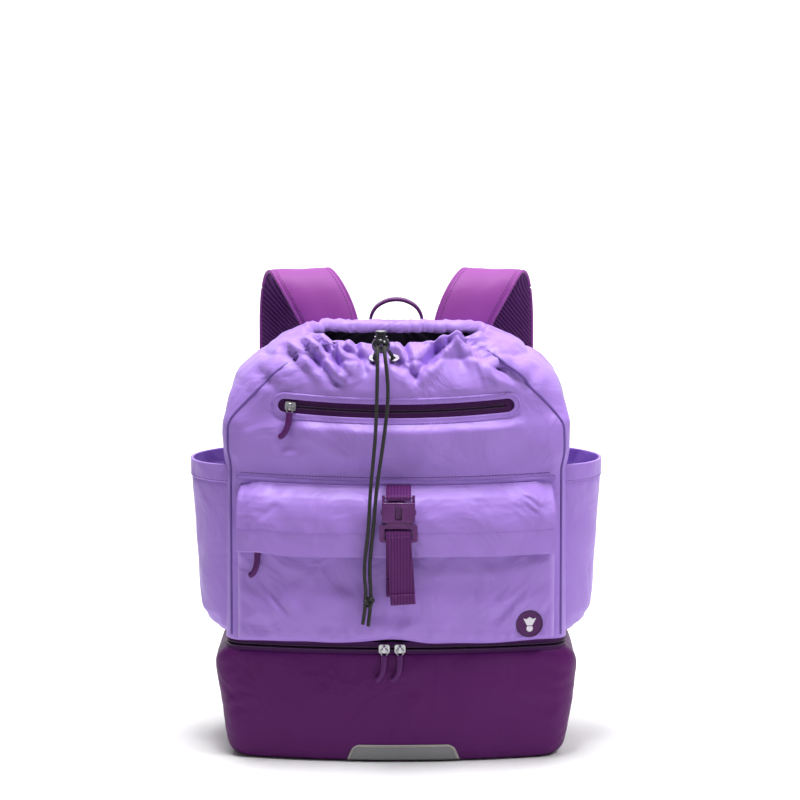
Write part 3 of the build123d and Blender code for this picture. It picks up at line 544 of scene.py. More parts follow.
def along(x, z, fold):
    """Distance from a fold's line, and how far along it."""
    x0, z0, x1, z1 = fold[:4]
    dx, dz = x1 - x0, z1 - z0
    t = ((x - x0) * dx + (z - z0) * dz) / (dx * dx + dz * dz)
    c = min(max(t, 0.0), 1.0)
    return math.hypot(x - x0 - c * dx, z - z0 - c * dz), t


def fold_push(x, z):
    """Sharp valleys with raised lips, where the cloth is drawn towards the mouth."""
    push = 0.0
    for fold in FOLDS:
        d, t = along(x, z, fold)
        width, depth = fold[4], fold[5]
        if d > 4 * width:
            continue
        fade = 1 - 0.65 * smooth(t)
        push += depth * fade * (0.5 * bell((d - 1.7 * width) / width) - bell(d / (0.62 * width)))
    return push


def slot_distance(x, z):
    """Distance from the upper zip's opening; negative inside it."""
    if abs(x) <= SLOT_HALF:
        d = abs(math.hypot(x, z - SAG_Z) - SAG_R)
    else:
        d = math.hypot(abs(x) - SLOT_HALF, z - SLOT_END_Z)
    return d - SLOT_GAP


def wave(x, y, z, scale, seed=0.0):
    return noise.noise(Vector((x / scale + seed, y / scale - seed, z / scale + 0.5 * seed)))


def ridges(steep, x, y, z):
    """Sharp creases: 1 on a crest line, falling away to both sides."""
    return 1 - steep * abs(noise.noise(Vector((x, y, z))))


def body_push(x, y, z):
    """How far the main cloth stands off its cut outline."""
    front = smooth((-y - 25) / 30)
    high = smooth((z - 300) / 22)
    side = smooth((abs(x) - 120) / 35) * smooth((z - 312) / 20) * (1 - smooth((y - 45) / 25))
    loose = max(front * high, side)
    push = loose * (1.6 + 3.4 * wave(x, y, z, 58, 3.1) + 1.7 * wave(x, y, z * 0.8, 26, 8.4))
    push += loose * 1.0 * ridges(2.4, (x + 0.8 * z) / 42.0, y / 60.0, (z - 0.5 * x) / 90.0)
    belly = front * 8.0 * smooth((z - 297) / 44) * (1 - smooth((z - 346) / 16))
    push += belly * (1 + 0.5 * wave(x, 0, z, 48, 5.5)) * (1 - 0.8 * smooth((abs(x) - 92) / 50))
    near = smooth((z - 366) / 46)
    if near > 0 and y < 30:
        push += 2.0 * near * front * fold_push(x, z)
    ends = 0.55 + 0.9 * bell((abs(x) - 88) / 34)
    angle = 118 * math.atan2(x, 20 - y)
    pleat = ridges(2.6, angle / 13.0, z / 120.0, 4.2)
    fine = ridges(2.6, angle / 6.0, z / 70.0, 9.7)
    calm = 1 - 0.55 * front * (1 - smooth((z - 414) / 8))
    push += near ** 1.5 * ends * calm * (2.4 * pleat + 1.2 * fine)
    if y < 0:
        d = slot_distance(x, z)
        keep = smooth((d - 1) / 13)
        puller = bell((x + 107) / 13) * smooth((z - 318) / 8) * (1 - smooth((z - 384) / 6))
        eyes = bell((x + 12) / 17) * bell((z - 415.5) / 7)
        push = push * keep * (1 - eyes) * (1 - 0.85 * puller) + 0.2
        if d < 0.6:
            push = -4.6 * smooth((0.6 - d) / 1.1)
    return push


def hem_lift(x):
    """How far the lower pocket's bottom seam rides above a level line."""
    return 4.2 * bell((x + 4) / 30) + 1.6 * wave(x, 0, 0, 40, 2.7) - 0.6


def rim_height(x, y):
    """Top edge of the drawn-in mouth: low in front, raised where it bunches at both ends, high behind."""
    front = 1 - smooth((y + 60) / 100)
    ends = smooth((abs(x + 12) - 46) / 26)
    height = 428.0 + (y + 52) * 0.072
    height += front * (6.5 * ends - 2.2 * bell((x + 12) / 46))
    height += 1.7 * wave(x, y, 0, 19, 2.2) + 0.9 * wave(x, y, 0, 8, 6.1)
    return height


def body_row(nominal, rim_share):
    """Outer points and normals of the body at one height; rim_share is 0 below z 400 and 1 at the rim."""
    points, normals = [], []
    for x, y, nx, ny in ring(hermite(BODY, nominal)):
        z = nominal
        if rim_share > 0:
            z = lerp(400.0, rim_height(x, y), rim_share)
        if nominal < 150:
            lift = hem_lift(x) * (y < 0) + 1.6 * wave(x, y, 0, 40, 2.7) * (y >= 0) - 0.6
            z += lift * (1 - smooth((nominal - 127) / 22))
        slope = 0.75 * smooth((z - 394) / 26)
        n = Vector((nx, ny, slope)).normalized()
        push = body_push(x, y, z)
        if rim_share > 0:
            push += 2.4 * math.sin(math.pi * clamp((rim_share - 0.45) / 0.5))
            push -= 1.5 * bell((rim_share - 0.43) / 0.045) * (1 - bell((x + 12) / 22) * (y < 0))
        points.append(Vector((x, y, z)) + n * push)
        normals.append(n)
    return points, normals


def build_body():
    """Main cloth from the cut at the bottom, over the rolled rim and down the lining inside."""
    rows = [(127.0 + 3.2 * i, 0.0) for i in range(63)]
    rows += [(329.0 + 2.0 * i, 0.0) for i in range(36)]
    top = 26
    rows += [(lerp(400.0, 435.5, i / top), i / top) for i in range(1, top + 1)]
    outer = [body_row(nominal, share) for nominal, share in rows]
    grid = [points for points, _ in outer]
    tags = [0] * len(grid)
    rim_points, rim_normals = outer[-1]
    over = [p + Vector((-n.x * 2.2, -n.y * 2.2, 1.3)) for p, n in zip(rim_points, rim_normals)]
    grid.append(over)
    tags.append(0)
    for depth, (inset, drop) in enumerate(((5.6, -0.6), (9.0, -3.0), (11.2, -7.0), (11.6, -12.0))):
        grid.append([p + Vector((-n.x * inset, -n.y * inset, drop)) for p, n in zip(rim_points, rim_normals)])
        tags.append(0 if depth < 3 else 1)
    for nominal in (405.0, 396.0, 384.0, 372.0, 360.0, 340.0, 300.0, 240.0, 180.0, 130.0):
        section = hermite(BODY, nominal)
        inner = []
        for (x, y, nx, ny), rim in zip(ring(section), rim_points):
            z = min(nominal, rim.z - 22)
            dent = 3.4 + 1.2 * (1 + wave(x, y, z, 30, 5.0))
            if y < 30 and z > 340:
                dent = lerp(6.2, 15.0, smooth((z - 366) / 12))
            inner.append(Vector((x - nx * dent, y - ny * dent, z)))
        grid.append(inner)
        tags.append(1)
    verts = [v for row in grid for v in row]
    faces = grid_faces(len(grid), RING_LEN, True)
    last = (len(grid) - 1) * RING_LEN
    faces += [(last + c, last + (c + 1) % RING_LEN, (c + 1) % RING_LEN, c) for c in range(RING_LEN)]
    obj = new_mesh("body_cloth", verts, faces, [LAVENDER, LINING])
    for polygon in obj.data.polygons:
        row = polygon.vertices[0] // RING_LEN
        polygon.material_index = 1 if row < len(tags) and tags[row] and min(polygon.vertices) >= RING_LEN else 0
    return obj


def place(piece, body, slot, *nodes):
    """Rides on a body and stands for CAD nodes, which it hides; its slot is not used."""
    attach(piece, body)
    if nodes:
        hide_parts(*nodes)
    return piece


place(build_body(), "bag", "main_fabric", "main_shell", "drawstring_tunnel")


def front_at(x, z, lift=0.0):
    """Point of the front panel, standing lift off the cloth."""
    return on_front(x, z, R_FACE + (body_push(x, arc_y(R_FACE, x), z) + lift))


def slab(name, rows, thick, mats, face_out):
    """Sheet of cloth with a real thickness: rows of outer points, inner points set back along the normal."""
    count, cols = len(rows), len(rows[0])
    normals = []
    for r in range(count):
        for c in range(cols):
            up = rows[min(r + 1, count - 1)][c] - rows[max(r - 1, 0)][c]
            over = rows[r][min(c + 1, cols - 1)] - rows[r][max(c - 1, 0)]
            n = over.cross(up)
            n = n.normalized() if n.length > 1e-9 else Vector((0, -1, 0))
            normals.append(n * face_out)
    outer = [p for row in rows for p in row]
    inner = [p - n * thick for p, n in zip(outer, normals)]
    total = count * cols
    faces = grid_faces(count, cols, False)
    faces += [tuple(i + total for i in reversed(f)) for f in faces]
    edge = list(range(cols)) + [r * cols + cols - 1 for r in range(1, count)]
    edge += [(count - 1) * cols + c for c in range(cols - 2, -1, -1)]
    edge += [r * cols for r in range(count - 2, 0, -1)]
    faces += [(a, b, b + total, a + total) for a, b in zip(edge, edge[1:] + edge[:1])]
    return new_mesh(name, outer + inner, faces, mats)


def resample(points, step):
    """Points at even steps along a line."""
    out = [points[0].copy()]
    left = step
    for a, b in zip(points, points[1:]):
        length = (b - a).length
        done = 0.0
        while length - done >= left:
            done += left
            out.append(a.lerp(b, done / length))
            left = step
        left -= length - done
    return out


def stitches(name, lines, mat, body, slot, pitch=3.6, dash=2.5, width=0.8, height=0.55):
    """Rows of thread stitches; each line is a list of (point, normal)."""
    verts, faces = [], []
    for line in lines:
        points = resample([p for p, _ in line], pitch)
        for p, q in zip(points, points[1:]):
            near = min(line, key=lambda item: (item[0] - p).length_squared)
            n = near[1]
            t = (q - p).normalized()
            side = t.cross(n).normalized() * (width / 2)
            a, b = p + t * (pitch - dash) / 2, p + t * (pitch + dash) / 2
            m = (a + b) / 2
            base = len(verts)
            for centre, grow, lift in ((a, 0.55, -0.15), (a.lerp(m, 0.4), 1.0, height * 0.8), (m, 1.0, height),
                                       (b.lerp(m, 0.4), 1.0, height * 0.8), (b, 0.55, -0.15)):
                verts += [centre - side * grow - n * 0.25, centre - side * grow * 0.6 + n * lift,
                          centre + side * grow * 0.6 + n * lift, centre + side * grow - n * 0.25]
            for k in range(4):
                o = base + 4 * k
                faces += [(o + j, o + (j + 1) % 4, o + 4 + (j + 1) % 4, o + 4 + j) for j in range(4)]
            faces += [(base, base + 3, base + 2, base + 1), (base + 16, base + 17, base + 18, base + 19)]
    return place(new_mesh(name, verts, faces, [mat]), body, slot)


def tube_piece(name, points, radius, mat, sides=10, closed=False):
    """Mesh tube through points, for piping and bound edges."""
    verts, faces = [], []
    count = len(points)
    for i, p in enumerate(points):
        before = points[i - 1] if i or closed else p
        after = points[(i + 1) % count] if i + 1 < count or closed else p
        t = (after - before).normalized()
        up = Vector((0, 0, 1)) if abs(t.z) < 0.9 else Vector((0, -1, 0))
        side = t.cross(up).normalized()
        top = side.cross(t)
        verts += [p + side * radius * c + top * radius * s for c, s in circle(sides)]
    faces = grid_faces(count, sides, True)
    if closed:
        faces += [((count - 1) * sides + c, (count - 1) * sides + (c + 1) % sides, (c + 1) % sides, c)
                  for c in range(sides)]
    else:
        faces += [tuple(range(sides))[::-1], tuple((count - 1) * sides + k for k in range(sides))]
    return new_mesh(name, verts, faces, [mat])


def slot_outline(distance):
    """Points of a line that keeps a distance from the upper zip's opening."""
    r = SLOT_GAP + distance
    points = []
    for way in (1, -1):
        grow = 1 - way * r / SAG_R
        for i in range(80):
            x = lerp(-SLOT_HALF, SLOT_HALF, i / 80) * way
            points.append((x * grow, SAG_Z - math.sqrt((SAG_R - way * r) ** 2 - (x * grow) ** 2)))
        for i in range(20):
            a = way * math.pi / 2 - math.pi * i / 20
            points.append((way * SLOT_HALF + r * math.cos(a), SLOT_END_Z + r * math.sin(a)))
    return points


def build_welt():
    """Folded cloth edge round the upper zip."""
    profile = ((-0.6, -1.6), (-0.5, 0.3), (0.1, 0.85), (1.0, 0.95), (2.6, 0.75), (4.2, 0.75), (5.4, 0.45),
               (6.0, -0.4))
    rows = []
    for distance, lift in profile:
        row = []
        for x, z in slot_outline(distance):
            y = arc_y(R_FACE, x)
            base = max(body_push(x, y, z), 0.0) if distance > 0.7 else 0.2
            row.append(front_normal(x) * (lift + base) + Vector((x, y, z)))
        rows.append(row)
    return lofted("upper_zip_welt", rows, [LAVENDER])


def teeth(name, line, offset, body, node_name):
    """Row of zip teeth along a line of (point, normal, up)."""
    pitch, wide, high = 1.5, 1.7, 0.7
    verts, faces = [], []
    points = resample([p for p, _, _ in line], pitch)
    k = 0
    for p, q in zip(points, points[1:]):
        while k + 1 < len(line) and (line[k + 1][0] - p).length_squared < (line[k][0] - p).length_squared:
            k += 1
        n, up = line[k][1], line[k][2]
        t = (q - p).normalized()
        centre = p + up * offset
        base = len(verts)
        for s in (-0.5, 0.5):
            for along_up, lift in ((-0.5, -0.3), (-0.42, 0.75), (0.0, 1.0), (0.42, 0.75), (0.5, -0.3)):
                verts.append(centre + t * (s * pitch * 0.55) + up * (along_up * wide) + n * (lift * high))
        faces += [(base + j, base + j + 1, base + j + 6, base + j + 5) for j in range(4)]
        faces += [(base, base + 5, base + 9, base + 4), (base + 4, base + 3, base + 2, base + 1, base),
                  (base + 5, base + 6, base + 7, base + 8, base + 9)]
    place(new_mesh(name, verts, faces, [COIL], smooth_faces=False), body, "zip_coil", node_name)


def slot_line(x):
    """Middle line of the upper zip on its tape."""
    z = SAG_Z - math.sqrt(SAG_R ** 2 - x * x)
    return on_front(x, z, R_FACE - 1), front_normal(x), Vector((0, 0, 1))


middle = [slot_line(lerp(-110, 110, i / 160)) for i in range(161)]
teeth("upper_zip_teeth_a", middle, 1.35, "bag", "upper_zip_coil")
teeth("upper_zip_teeth_b", middle, -1.35, "bag", "upper_zip_coil")


def shoe_zip_line(z):
    """Line of the shoe zip round the front and sides, on its tape."""
    outline = ring((z, *CUT))
    points = [(Vector((x - nx * 1.0, y - ny * 1.0, z)), Vector((nx, ny, 0)), Vector((0, 0, 1)))
              for x, y, nx, ny in outline]
    half = RING_LEN // 2
    return [item for item in points[half:] + points[:half] if item[0].y < 55]


teeth("shoe_zip_teeth_lower", shoe_zip_line(ZIP_Z), -1.7, "shoe_compartment", "shoe_zip_coil_lower")
teeth("shoe_zip_teeth_upper", shoe_zip_line(ZIP_Z), 1.7, "bag", "shoe_zip_coil_upper")

place(build_welt(), "bag", "main_fabric")
line = [(front_at(x, z, 1.0) if slot_distance(x, z) > 0.8 else front_at(x, z), front_normal(x))
        for x, z in slot_outline(4.4)]
stitches("upper_zip_stitches", [line + line[:1]], THREAD, "bag", "main_fabric", pitch=3.3, dash=2.2)


TURNS = [(129.0, 45), (345.0, 45), (361.0, 52), (372.0, 58), (382.0, 63), (394.0, 64), (424.0, 67)]


def corner_line(low, high, sign, lift):
    """Line down the front corner of the body; TURNS gives the corner angle at each height."""
    points = []
    for i in range(90):
        z = lerp(low, high, i / 89)
        for (z0, t0), (z1, t1) in zip(TURNS, TURNS[1:]):
            if z0 <= z <= z1:
                turn = lerp(t0, t1, (z - z0) / (z1 - z0))
        _, half, radius, _, rf, _ = hermite(BODY, z)
        cx = half - rf
        cy = arc_y(radius - rf, cx)
        a = math.radians(turn)
        nx, ny = math.cos(a), -math.sin(a)
        x, y = cx + rf * nx, cy + rf * ny
        grow = body_push(sign * x, y, z) + lift
        points.append(Vector((sign * (x + nx * grow), y + ny * grow, z)))
    return points


# The dark front piping also stands for the seams' shadow line: painted shade.
for label, sign in (("left", -1), ("right", 1)):
    place(tube_piece(f"piping_{label}", corner_line(130, 423, sign, -0.2), 1.5, PIPING_PAINTED_SHADE), "bag", "piping",
          "front_piping")


# ------------------------------------------------------------------ shoe compartment

def shoe_push(x, y, z):
    """Soft bulges of the padded shoe compartment."""
    mid = math.sin(math.pi * clamp(z / 114.0)) ** 0.6
    calm = 1 - 0.8 * bell((z - 4) / 6)
    patch = 1 - bell((x - 7) / 62) * bell((z - 8) / 14) * (y < 0)
    corner = bell((abs(x) - 168) / 20) * bell((y + 66) / 24)
    crease = corner * 1.3 * (1 - 2.4 * abs(wave(x, y, z * 2.2, 34, 6.6)))
    return calm * patch * mid * (0.8 + 1.9 * wave(x, y, z, 75, 1.7) + 0.8 * wave(x, y, z, 30, 4.4) + crease)


def shoe_row(z):
    """Outer points and normals of the shoe compartment at one height."""
    points, normals = [], []
    for x, y, nx, ny in ring(hermite(SHOE, z)):
        n = Vector((nx, ny, 0))
        points.append(Vector((x, y, z)) + n * shoe_push(x, y, z))
        normals.append(n)
    return points, normals


def build_shoe():
    """Shoe compartment from the middle of its base, up the sides, over the edge and down the lining."""
    heights = [0.0, 0.7, 1.4, 2.6, 4.5, 7.5, 11.0] + [14.0 + 3.6 * i for i in range(27)] + [111.0, 113.0, 114.4]
    outer = [shoe_row(z) for z in heights]
    top, normals = outer[-1]
    grid = [[Vector((p.x * shrink, lerp(0, p.y, shrink), 0.0)) for p in outer[0][0]]
            for shrink in (0.0, 0.25, 0.5, 0.75, 0.92)]
    grid += [points for points, _ in outer]
    grid.append([p - n * 1.4 + Vector((0, 0, 0.5)) for p, n in zip(top, normals)])
    lining_from = len(grid)
    grid.append([p - n * 2.6 + Vector((0, 0, -0.3)) for p, n in zip(top, normals)])
    grid += [[p - n * 3.2 for p, n in zip(*outer[k])] for k in range(len(outer) - 3, 5, -3)]
    grid += [[Vector((p.x * shrink, p.y * shrink, 2.9)) for p in outer[4][0]]
             for shrink in (0.96, 0.75, 0.5, 0.25, 0.0)]
    obj = lofted("shoe_box_cloth", grid, [PLUM, LINING])
    for polygon in obj.data.polygons:
        polygon.material_index = int(min(polygon.vertices) // RING_LEN >= lining_from)
    return obj


place(build_shoe(), "shoe_compartment", "shoe_fabric", "shoe_box_shell")


def shoe_front(x, z, lift):
    """Point of the shoe compartment's front face."""
    radius = hermite(SHOE, z)[2]
    return on_front(x, z, radius + (shoe_push(x, arc_y(radius, x), z) + lift), radius)


def patch_edge(z, inset=0.0):
    """Left and right ends of the reflective patch at one height."""
    left, right = lerp(-51, -44.0, z / 19), lerp(66, 59.0, z / 19)
    top = 19.0 - inset
    roll = 7.0 - inset
    drop = 0.0
    if z > top - roll:
        drop = roll - math.sqrt(max(roll * roll - (z - (top - roll)) ** 2, 0))
    return left + inset + drop, right - inset - drop


def patch_sheet(name, inset, lift, mat):
    rows = []
    for i in range(19):
        z = lerp(1.3, 18.9 - inset, i / 18)
        left, right = patch_edge(z, inset)
        rows.append([shoe_front(lerp(left, right, c / 60), z, lift) for c in range(61)])
    return slab(name, rows, 0.9, [mat], 1)


place(patch_sheet("patch_edging", 0.0, 1.0, EDGING), "shoe_compartment", "patch", "reflective_patch")
place(patch_sheet("patch_sheet", 2.4, 1.35, PATCH), "shoe_compartment", "patch")
patch_line = []
for i in range(120):
    t = i / 119
    if t < 0.14:
        z = lerp(2, 13.4, t / 0.14)
        patch_line.append((patch_edge(z, 1.2)[0], z))
    elif t > 0.86:
        z = lerp(13.4, 2, (t - 0.86) / 0.14)
        patch_line.append((patch_edge(z, 1.2)[1], z))
    else:
        z = 17.7 - 4.3 * (bell((t - 0.14) / 0.035) + bell((t - 0.86) / 0.035))
        patch_line.append((lerp(-46, 61, (t - 0.14) / 0.72), z))
line = [(shoe_front(x, z, 1.15), front_normal(x)) for x, z in patch_line]
stitches("patch_stitches", [line], PATCH, "shoe_compartment", "patch", pitch=2.8, dash=1.9, width=0.6,
         height=0.3)


def back_seam(z, inset, low_y):
    """Line round the back of the outline where the two compartments are sewn together."""
    return [Vector((x - nx * inset, y - ny * inset, z)) for x, y, nx, ny in ring((z, *CUT)) if y > low_y]


for label, z, mat, body in (("lower", 117.4, PLUM, "shoe_compartment"), ("upper", 123.7, LAVENDER_DARK, "bag")):
    seam = tube_piece(f"back_seam_{label}", back_seam(z, 2.4, 56), 3.1, mat)
    place(seam, body, "piping", f"rear_seam_{label}")


def ring_pad(name, section, inset, low, high, crown, mat):
    """Soft board in the plan outline, crowned in the middle."""
    z, half, radius, back, rf, rb = section
    outline = ring((z, half - inset, radius - inset, back - inset, rf, rb))
    top = high + crown
    profile = ((0.0, low), (0.5, low), (0.97, low), (1.0, low + 0.8), (1.0, high - 0.8), (0.985, high),
               (0.8, high + crown * 0.45), (0.5, high + crown * 0.85), (0.25, top), (0.0, top))
    return lofted(name, [[Vector((x * shrink, y * shrink, height)) for x, y, _, _ in outline]
                         for shrink, height in profile], [mat])


place(ring_pad("divider_pad", BODY[0], 3.6, 127.1, 129.6, 0.5, LINING), "bag", "lining", "divider_floor")


# ------------------------------------------------------------------ pockets on the front

def pocket_push(x, z):
    """Puff and creases of the lower pocket's front."""
    across = math.sin(math.pi * clamp((x + POCKET_HALF) / (2 * POCKET_HALF))) ** 0.5
    up = math.sin(math.pi * clamp((z - 128) / 98)) ** 0.8
    push = across * (0.6 + 5.6 * bell((z - 180) / 40)) * smooth((z - 129) / 12)
    push += across * up * (3.4 * wave(x, 0, z, 54, 2.6) + 3.0 * wave(x, 0, z * 1.3, 26, 7.1))
    push += across * up * 2.0 * ridges(2.4, (x - 0.7 * z) / 40.0, 3.3, (z + 0.4 * x) / 80.0)
    left = bell((x + 128) / 30) * bell((z - 168) / 34)
    right = bell((x - 120) / 34) * bell((z - 176) / 30)
    slant_left = ridges(2.6, (x + z) / 15.0, (x - z) / 60.0, 1.1)
    slant_right = ridges(2.6, (x - z) / 15.0, (x + z) / 60.0, 5.1)
    push += 3.4 * left * slant_left + 3.4 * right * slant_right
    hem = bell((z - 133) / 11) * (abs(x) < 156)
    push += hem * 1.6 * ridges(2.6, x / 11.0, z / 40.0, 8.3)
    badge = bell(math.hypot(x - 135, z - 147) / 19)
    tail = bell((x + 9) / 38) * smooth((z - 146) / 14)
    under_pull = smooth((z - 160) / 36)
    return push * (1 - badge) * (1 - 0.72 * tail) * (1 - 0.85 * under_pull)


def pocket_front(x, z, lift=0.0):
    """Point on the lower pocket's front face."""
    return on_front(x, z, R_POCKET + pocket_push(x, z) + lift, R_POCKET)


def band_form(name, half, z0, z1, r_back, r_front, push, roll, mats, cols=150, rows=72, gap=None, hem=None):
    """Closed puffed form on the curved front between two heights."""
    grid = []
    for r in range(rows + 1):
        v = r / rows
        v = 0.5 - 0.5 * math.cos(math.pi * v) if rows < 60 else lerp(v, 0.5 - 0.5 * math.cos(math.pi * v), 0.55)
        z = lerp(z0, z1, v)
        row = []
        for c in range(cols + 1):
            u = c / cols
            u = lerp(u, 0.5 - 0.5 * math.cos(math.pi * u), 0.45)
            x = lerp(-half, half, u)
            d = min(half - abs(x), z - z0, z1 - z)
            dx, dz = min((half - abs(x)) / roll, 1), min(min(z - z0, z1 - z) / (0.6 * roll), 1)
            rise = math.sqrt(max(1 - (1 - dx) ** 2, 0)) * math.sqrt(max(1 - (1 - dz) ** 2, 0))
            radius = lerp(r_back, r_front, rise) + rise * push(x, z)
            if gap and abs(x) < gap[0] and abs(z - gap[1]) < gap[2] and d > 0:
                radius = r_front - 4.6
            up = z + (hem(x) * (1 - smooth((z - z0) / 30)) if hem else 0)
            row.append(on_front(x, up, radius, r_front))
        grid.append(row)
    return slab(name, grid, 1.8, mats, 1)


place(band_form("lower_pocket_cloth", POCKET_HALF, 128.4, 240.0, 697.0, R_POCKET, pocket_push, 9.0, [LAVENDER],
                gap=(146.0, 229.0, 5.2), hem=hem_lift), "bag", "main_fabric", "lower_pocket")


def pouch_push(x, z):
    return -1.5 + 1.6 * wave(x, 0, z, 40, 3.3)


place(band_form("upper_pouch_cloth", 129.0, 263.0, 385.0, 694.0, 680.0, pouch_push, 12.0, [LINING], cols=60,
                rows=40), "bag", "lining", "upper_pouch")

FLAP = [(700.6, 291.6), (701.2, 289.0), (704.6, 285.4), (712.0, 279.4), (716.4, 273.0), (718.8, 266.4),
        (720.5, 260.0), (721.4, 252.0), (721.6, 244.0), (721.5, 236.0), (721.4, 228.0), (721.4, 220.4)]


def flap_point(u, v, lift=0.0):
    """Point of the flap: u from -1 to 1 across, v from 0 at the seam to 1 at the free edge."""
    place_v = v * (len(FLAP) - 1)
    k = min(int(place_v), len(FLAP) - 2)
    f = place_v - k
    radius, z = (lerp(FLAP[k][i], FLAP[k + 1][i], f) for i in (0, 1))
    x = FLAP_HALF * u
    free = smooth((v - 0.35) / 0.6)
    sides = smooth((abs(u) - 0.9) / 0.1)
    buckle = 1 - bell((x - 2.5) / 34)
    radius += buckle * free * (1.3 * wave(x, 0, z, 46, 6.2) + 0.9 * wave(x, 0, z, 19, 1.3)) - 3.0 * sides * v
    radius += buckle * 0.8 * smooth(v / 0.3) * ridges(2.4, (x + z) / 38.0, 1.7, z / 60.0)
    radius += buckle * (1 - free) * 0.8 * wave(x, 0, z, 16, 9.4)
    corner = bell((abs(u) - 0.86) / 0.16) * bell((v - 0.3) / 0.3)
    radius += 2.4 * corner * ridges(2.6, (abs(x) + z) / 9.0, (abs(x) - z) / 50.0, 2.2 + u)
    radius -= 4.0 * smooth((abs(u) - 0.86) / 0.14) * bell(v / 0.5)
    z -= 2.6 * (1 - u * u) * (1 - 0.7 * v)
    sag = 1.1 * wave(x, 0, 0, 70, 3.9) + 0.4 * wave(x, 0, 0, 22, 5.5)
    z += free * sag + 2.0 * bell((x + 140) / 16) * free
    return on_front(x, z, radius + lift, R_FLAP)


flap_rows = [[flap_point(lerp(-1, 1, c / 120), r / 40) for c in range(121)] for r in range(41)]
flap = place(slab("flap_cloth", flap_rows, 1.9, [LAVENDER], -1), "flap", "main_fabric", "flap_panel")
line = [(flap_point(lerp(-0.985, 0.985, i / 200), 0.715, 0.15), front_normal(158 * lerp(-1, 1, i / 200)))
        for i in range(201)]
flap_stitch = stitches("flap_stitches", [line], THREAD, "flap", "main_fabric", pitch=3.4, dash=2.3)


def seam_bow(x):
    """How far the flap's seam dips between its ends."""
    return 2.6 * (1 - (x / 161) ** 2)


def seam_strip():
    """Bound edge that holds the flap, with a rolled upper lip."""
    profile = ((-0.8, 290.9), (1.6, 291.2), (2.6, 292.4), (2.7, 294.0), (1.9, 295.4), (0.2, 296.2),
               (-1.0, 296.3))
    rows = []
    for lift, z in profile:
        row = []
        for c in range(131):
            x = lerp(-161, 161, c / 130)
            wobble = 0.35 * wave(x, 0, 0, 12, 2.0) - seam_bow(x)
            row.append(on_front(x, z + wobble, R_FACE + lift + 0.3 * wave(x, 0, 9, 12, 2.0)))
        rows.append(row)
    # The darker binding partly paints the shadow line above the flap: painted shade.
    return slab("flap_seam_binding", rows, 0.8, [LAVENDER_DARK], 1)


place(seam_strip(), "bag", "main_fabric", "flap_seam")
line = [(front_at(x, 299.4 - seam_bow(x), 0.1), front_normal(x))
        for x in (lerp(-158, 158, i / 120) for i in range(121))]
stitches("flap_seam_stitches", [line], SEAM_THREAD, "bag", "main_fabric", pitch=3.2, dash=2.3, width=1.0)

BADGE_X, BADGE_Z, BADGE_R = 135.0, 147.0, 13.3
badge_turn = math.asin(BADGE_X / R_POCKET)
badge_way = Vector((math.sin(badge_turn), -math.cos(badge_turn), 0))
badge_side = Vector((-badge_way.y, badge_way.x, 0))
badge_centre = Vector((0, AXIS_Y, BADGE_Z)) + badge_way * (R_POCKET + 1.5)
badge_ring = [badge_centre + badge_side * BADGE_R * c + Vector((0, 0, BADGE_R * s)) for c, s in circle(60)]
place(tube_piece("badge_rim", badge_ring, 0.75, BADGE_RIM, closed=True), "bag", "badge_rubber")


# ------------------------------------------------------------------ side pockets

BULGE = [(128.5, 13.0), (137.0, 23.0), (150.0, 29.5), (175.0, 31.8), (200.0, 33.0), (286.0, 38.0),
         (305.0, 38.6)]                              # height, how far the pocket stands out


def bulge_at(z):
    for (z0, b0), (z1, b1) in zip(BULGE, BULGE[1:]):
        if z <= z1:
            return lerp(b0, b1, smooth((z - z0) / (z1 - z0)) if z1 < 160 else (z - z0) / (z1 - z0))
    return BULGE[-1][1]


def side_point(u, z, lift=0.0):
    """Right side pocket: u from 0 at the back edge to 1 at the front edge."""
    bulge = bulge_at(z)
    ax, ay, bx, by, cx, cy = 160.0, 64.0, 175.0 + bulge, 4.0, 160.0, -58.0
    d = 2 * (ax * (by - cy) + bx * (cy - ay) + cx * (ay - by))
    a2, b2, c2 = ax * ax + ay * ay, bx * bx + by * by, cx * cx + cy * cy
    ox = (a2 * (by - cy) + b2 * (cy - ay) + c2 * (ay - by)) / d
    oy = (a2 * (cx - bx) + b2 * (ax - cx) + c2 * (bx - ax)) / d
    radius = math.hypot(ax - ox, ay - oy)
    a0, a1 = math.atan2(ay - oy, ax - ox), math.atan2(cy - oy, cx - ox)
    a = lerp(a0, a1, u)
    mid = math.sin(math.pi * u) ** 0.7
    body = smooth((z - 136) / 20) * (1 - smooth((z - 276) / 14))
    push = mid * body * (1.1 * wave(u * 130, 30, z, 46, 3.5) + 0.6 * wave(u * 130, 30, z, 18, 6.9) - 0.2)
    push += mid * bell((z - 288) / 12) * 0.7 * ridges(2.6, u * 22, 2.2, z / 30)
    push -= mid * 0.9 * bell((z - 286) / 1.8)
    z += mid * smooth((z - 280) / 25) * (0.9 * wave(u * 130, 0, 0, 34, 4.1) - 0.6)
    r = radius + push + lift
    return Vector((ox + r * math.cos(a), oy + r * math.sin(a), z)), Vector((math.cos(a), math.sin(a), 0))


def sided(sign):
    """Label of the right (1) or left (-1) side, and the mirroring of its points."""
    return ("right", lambda v: v) if sign > 0 else ("left", lambda v: Vector((-v.x, v.y, v.z)))


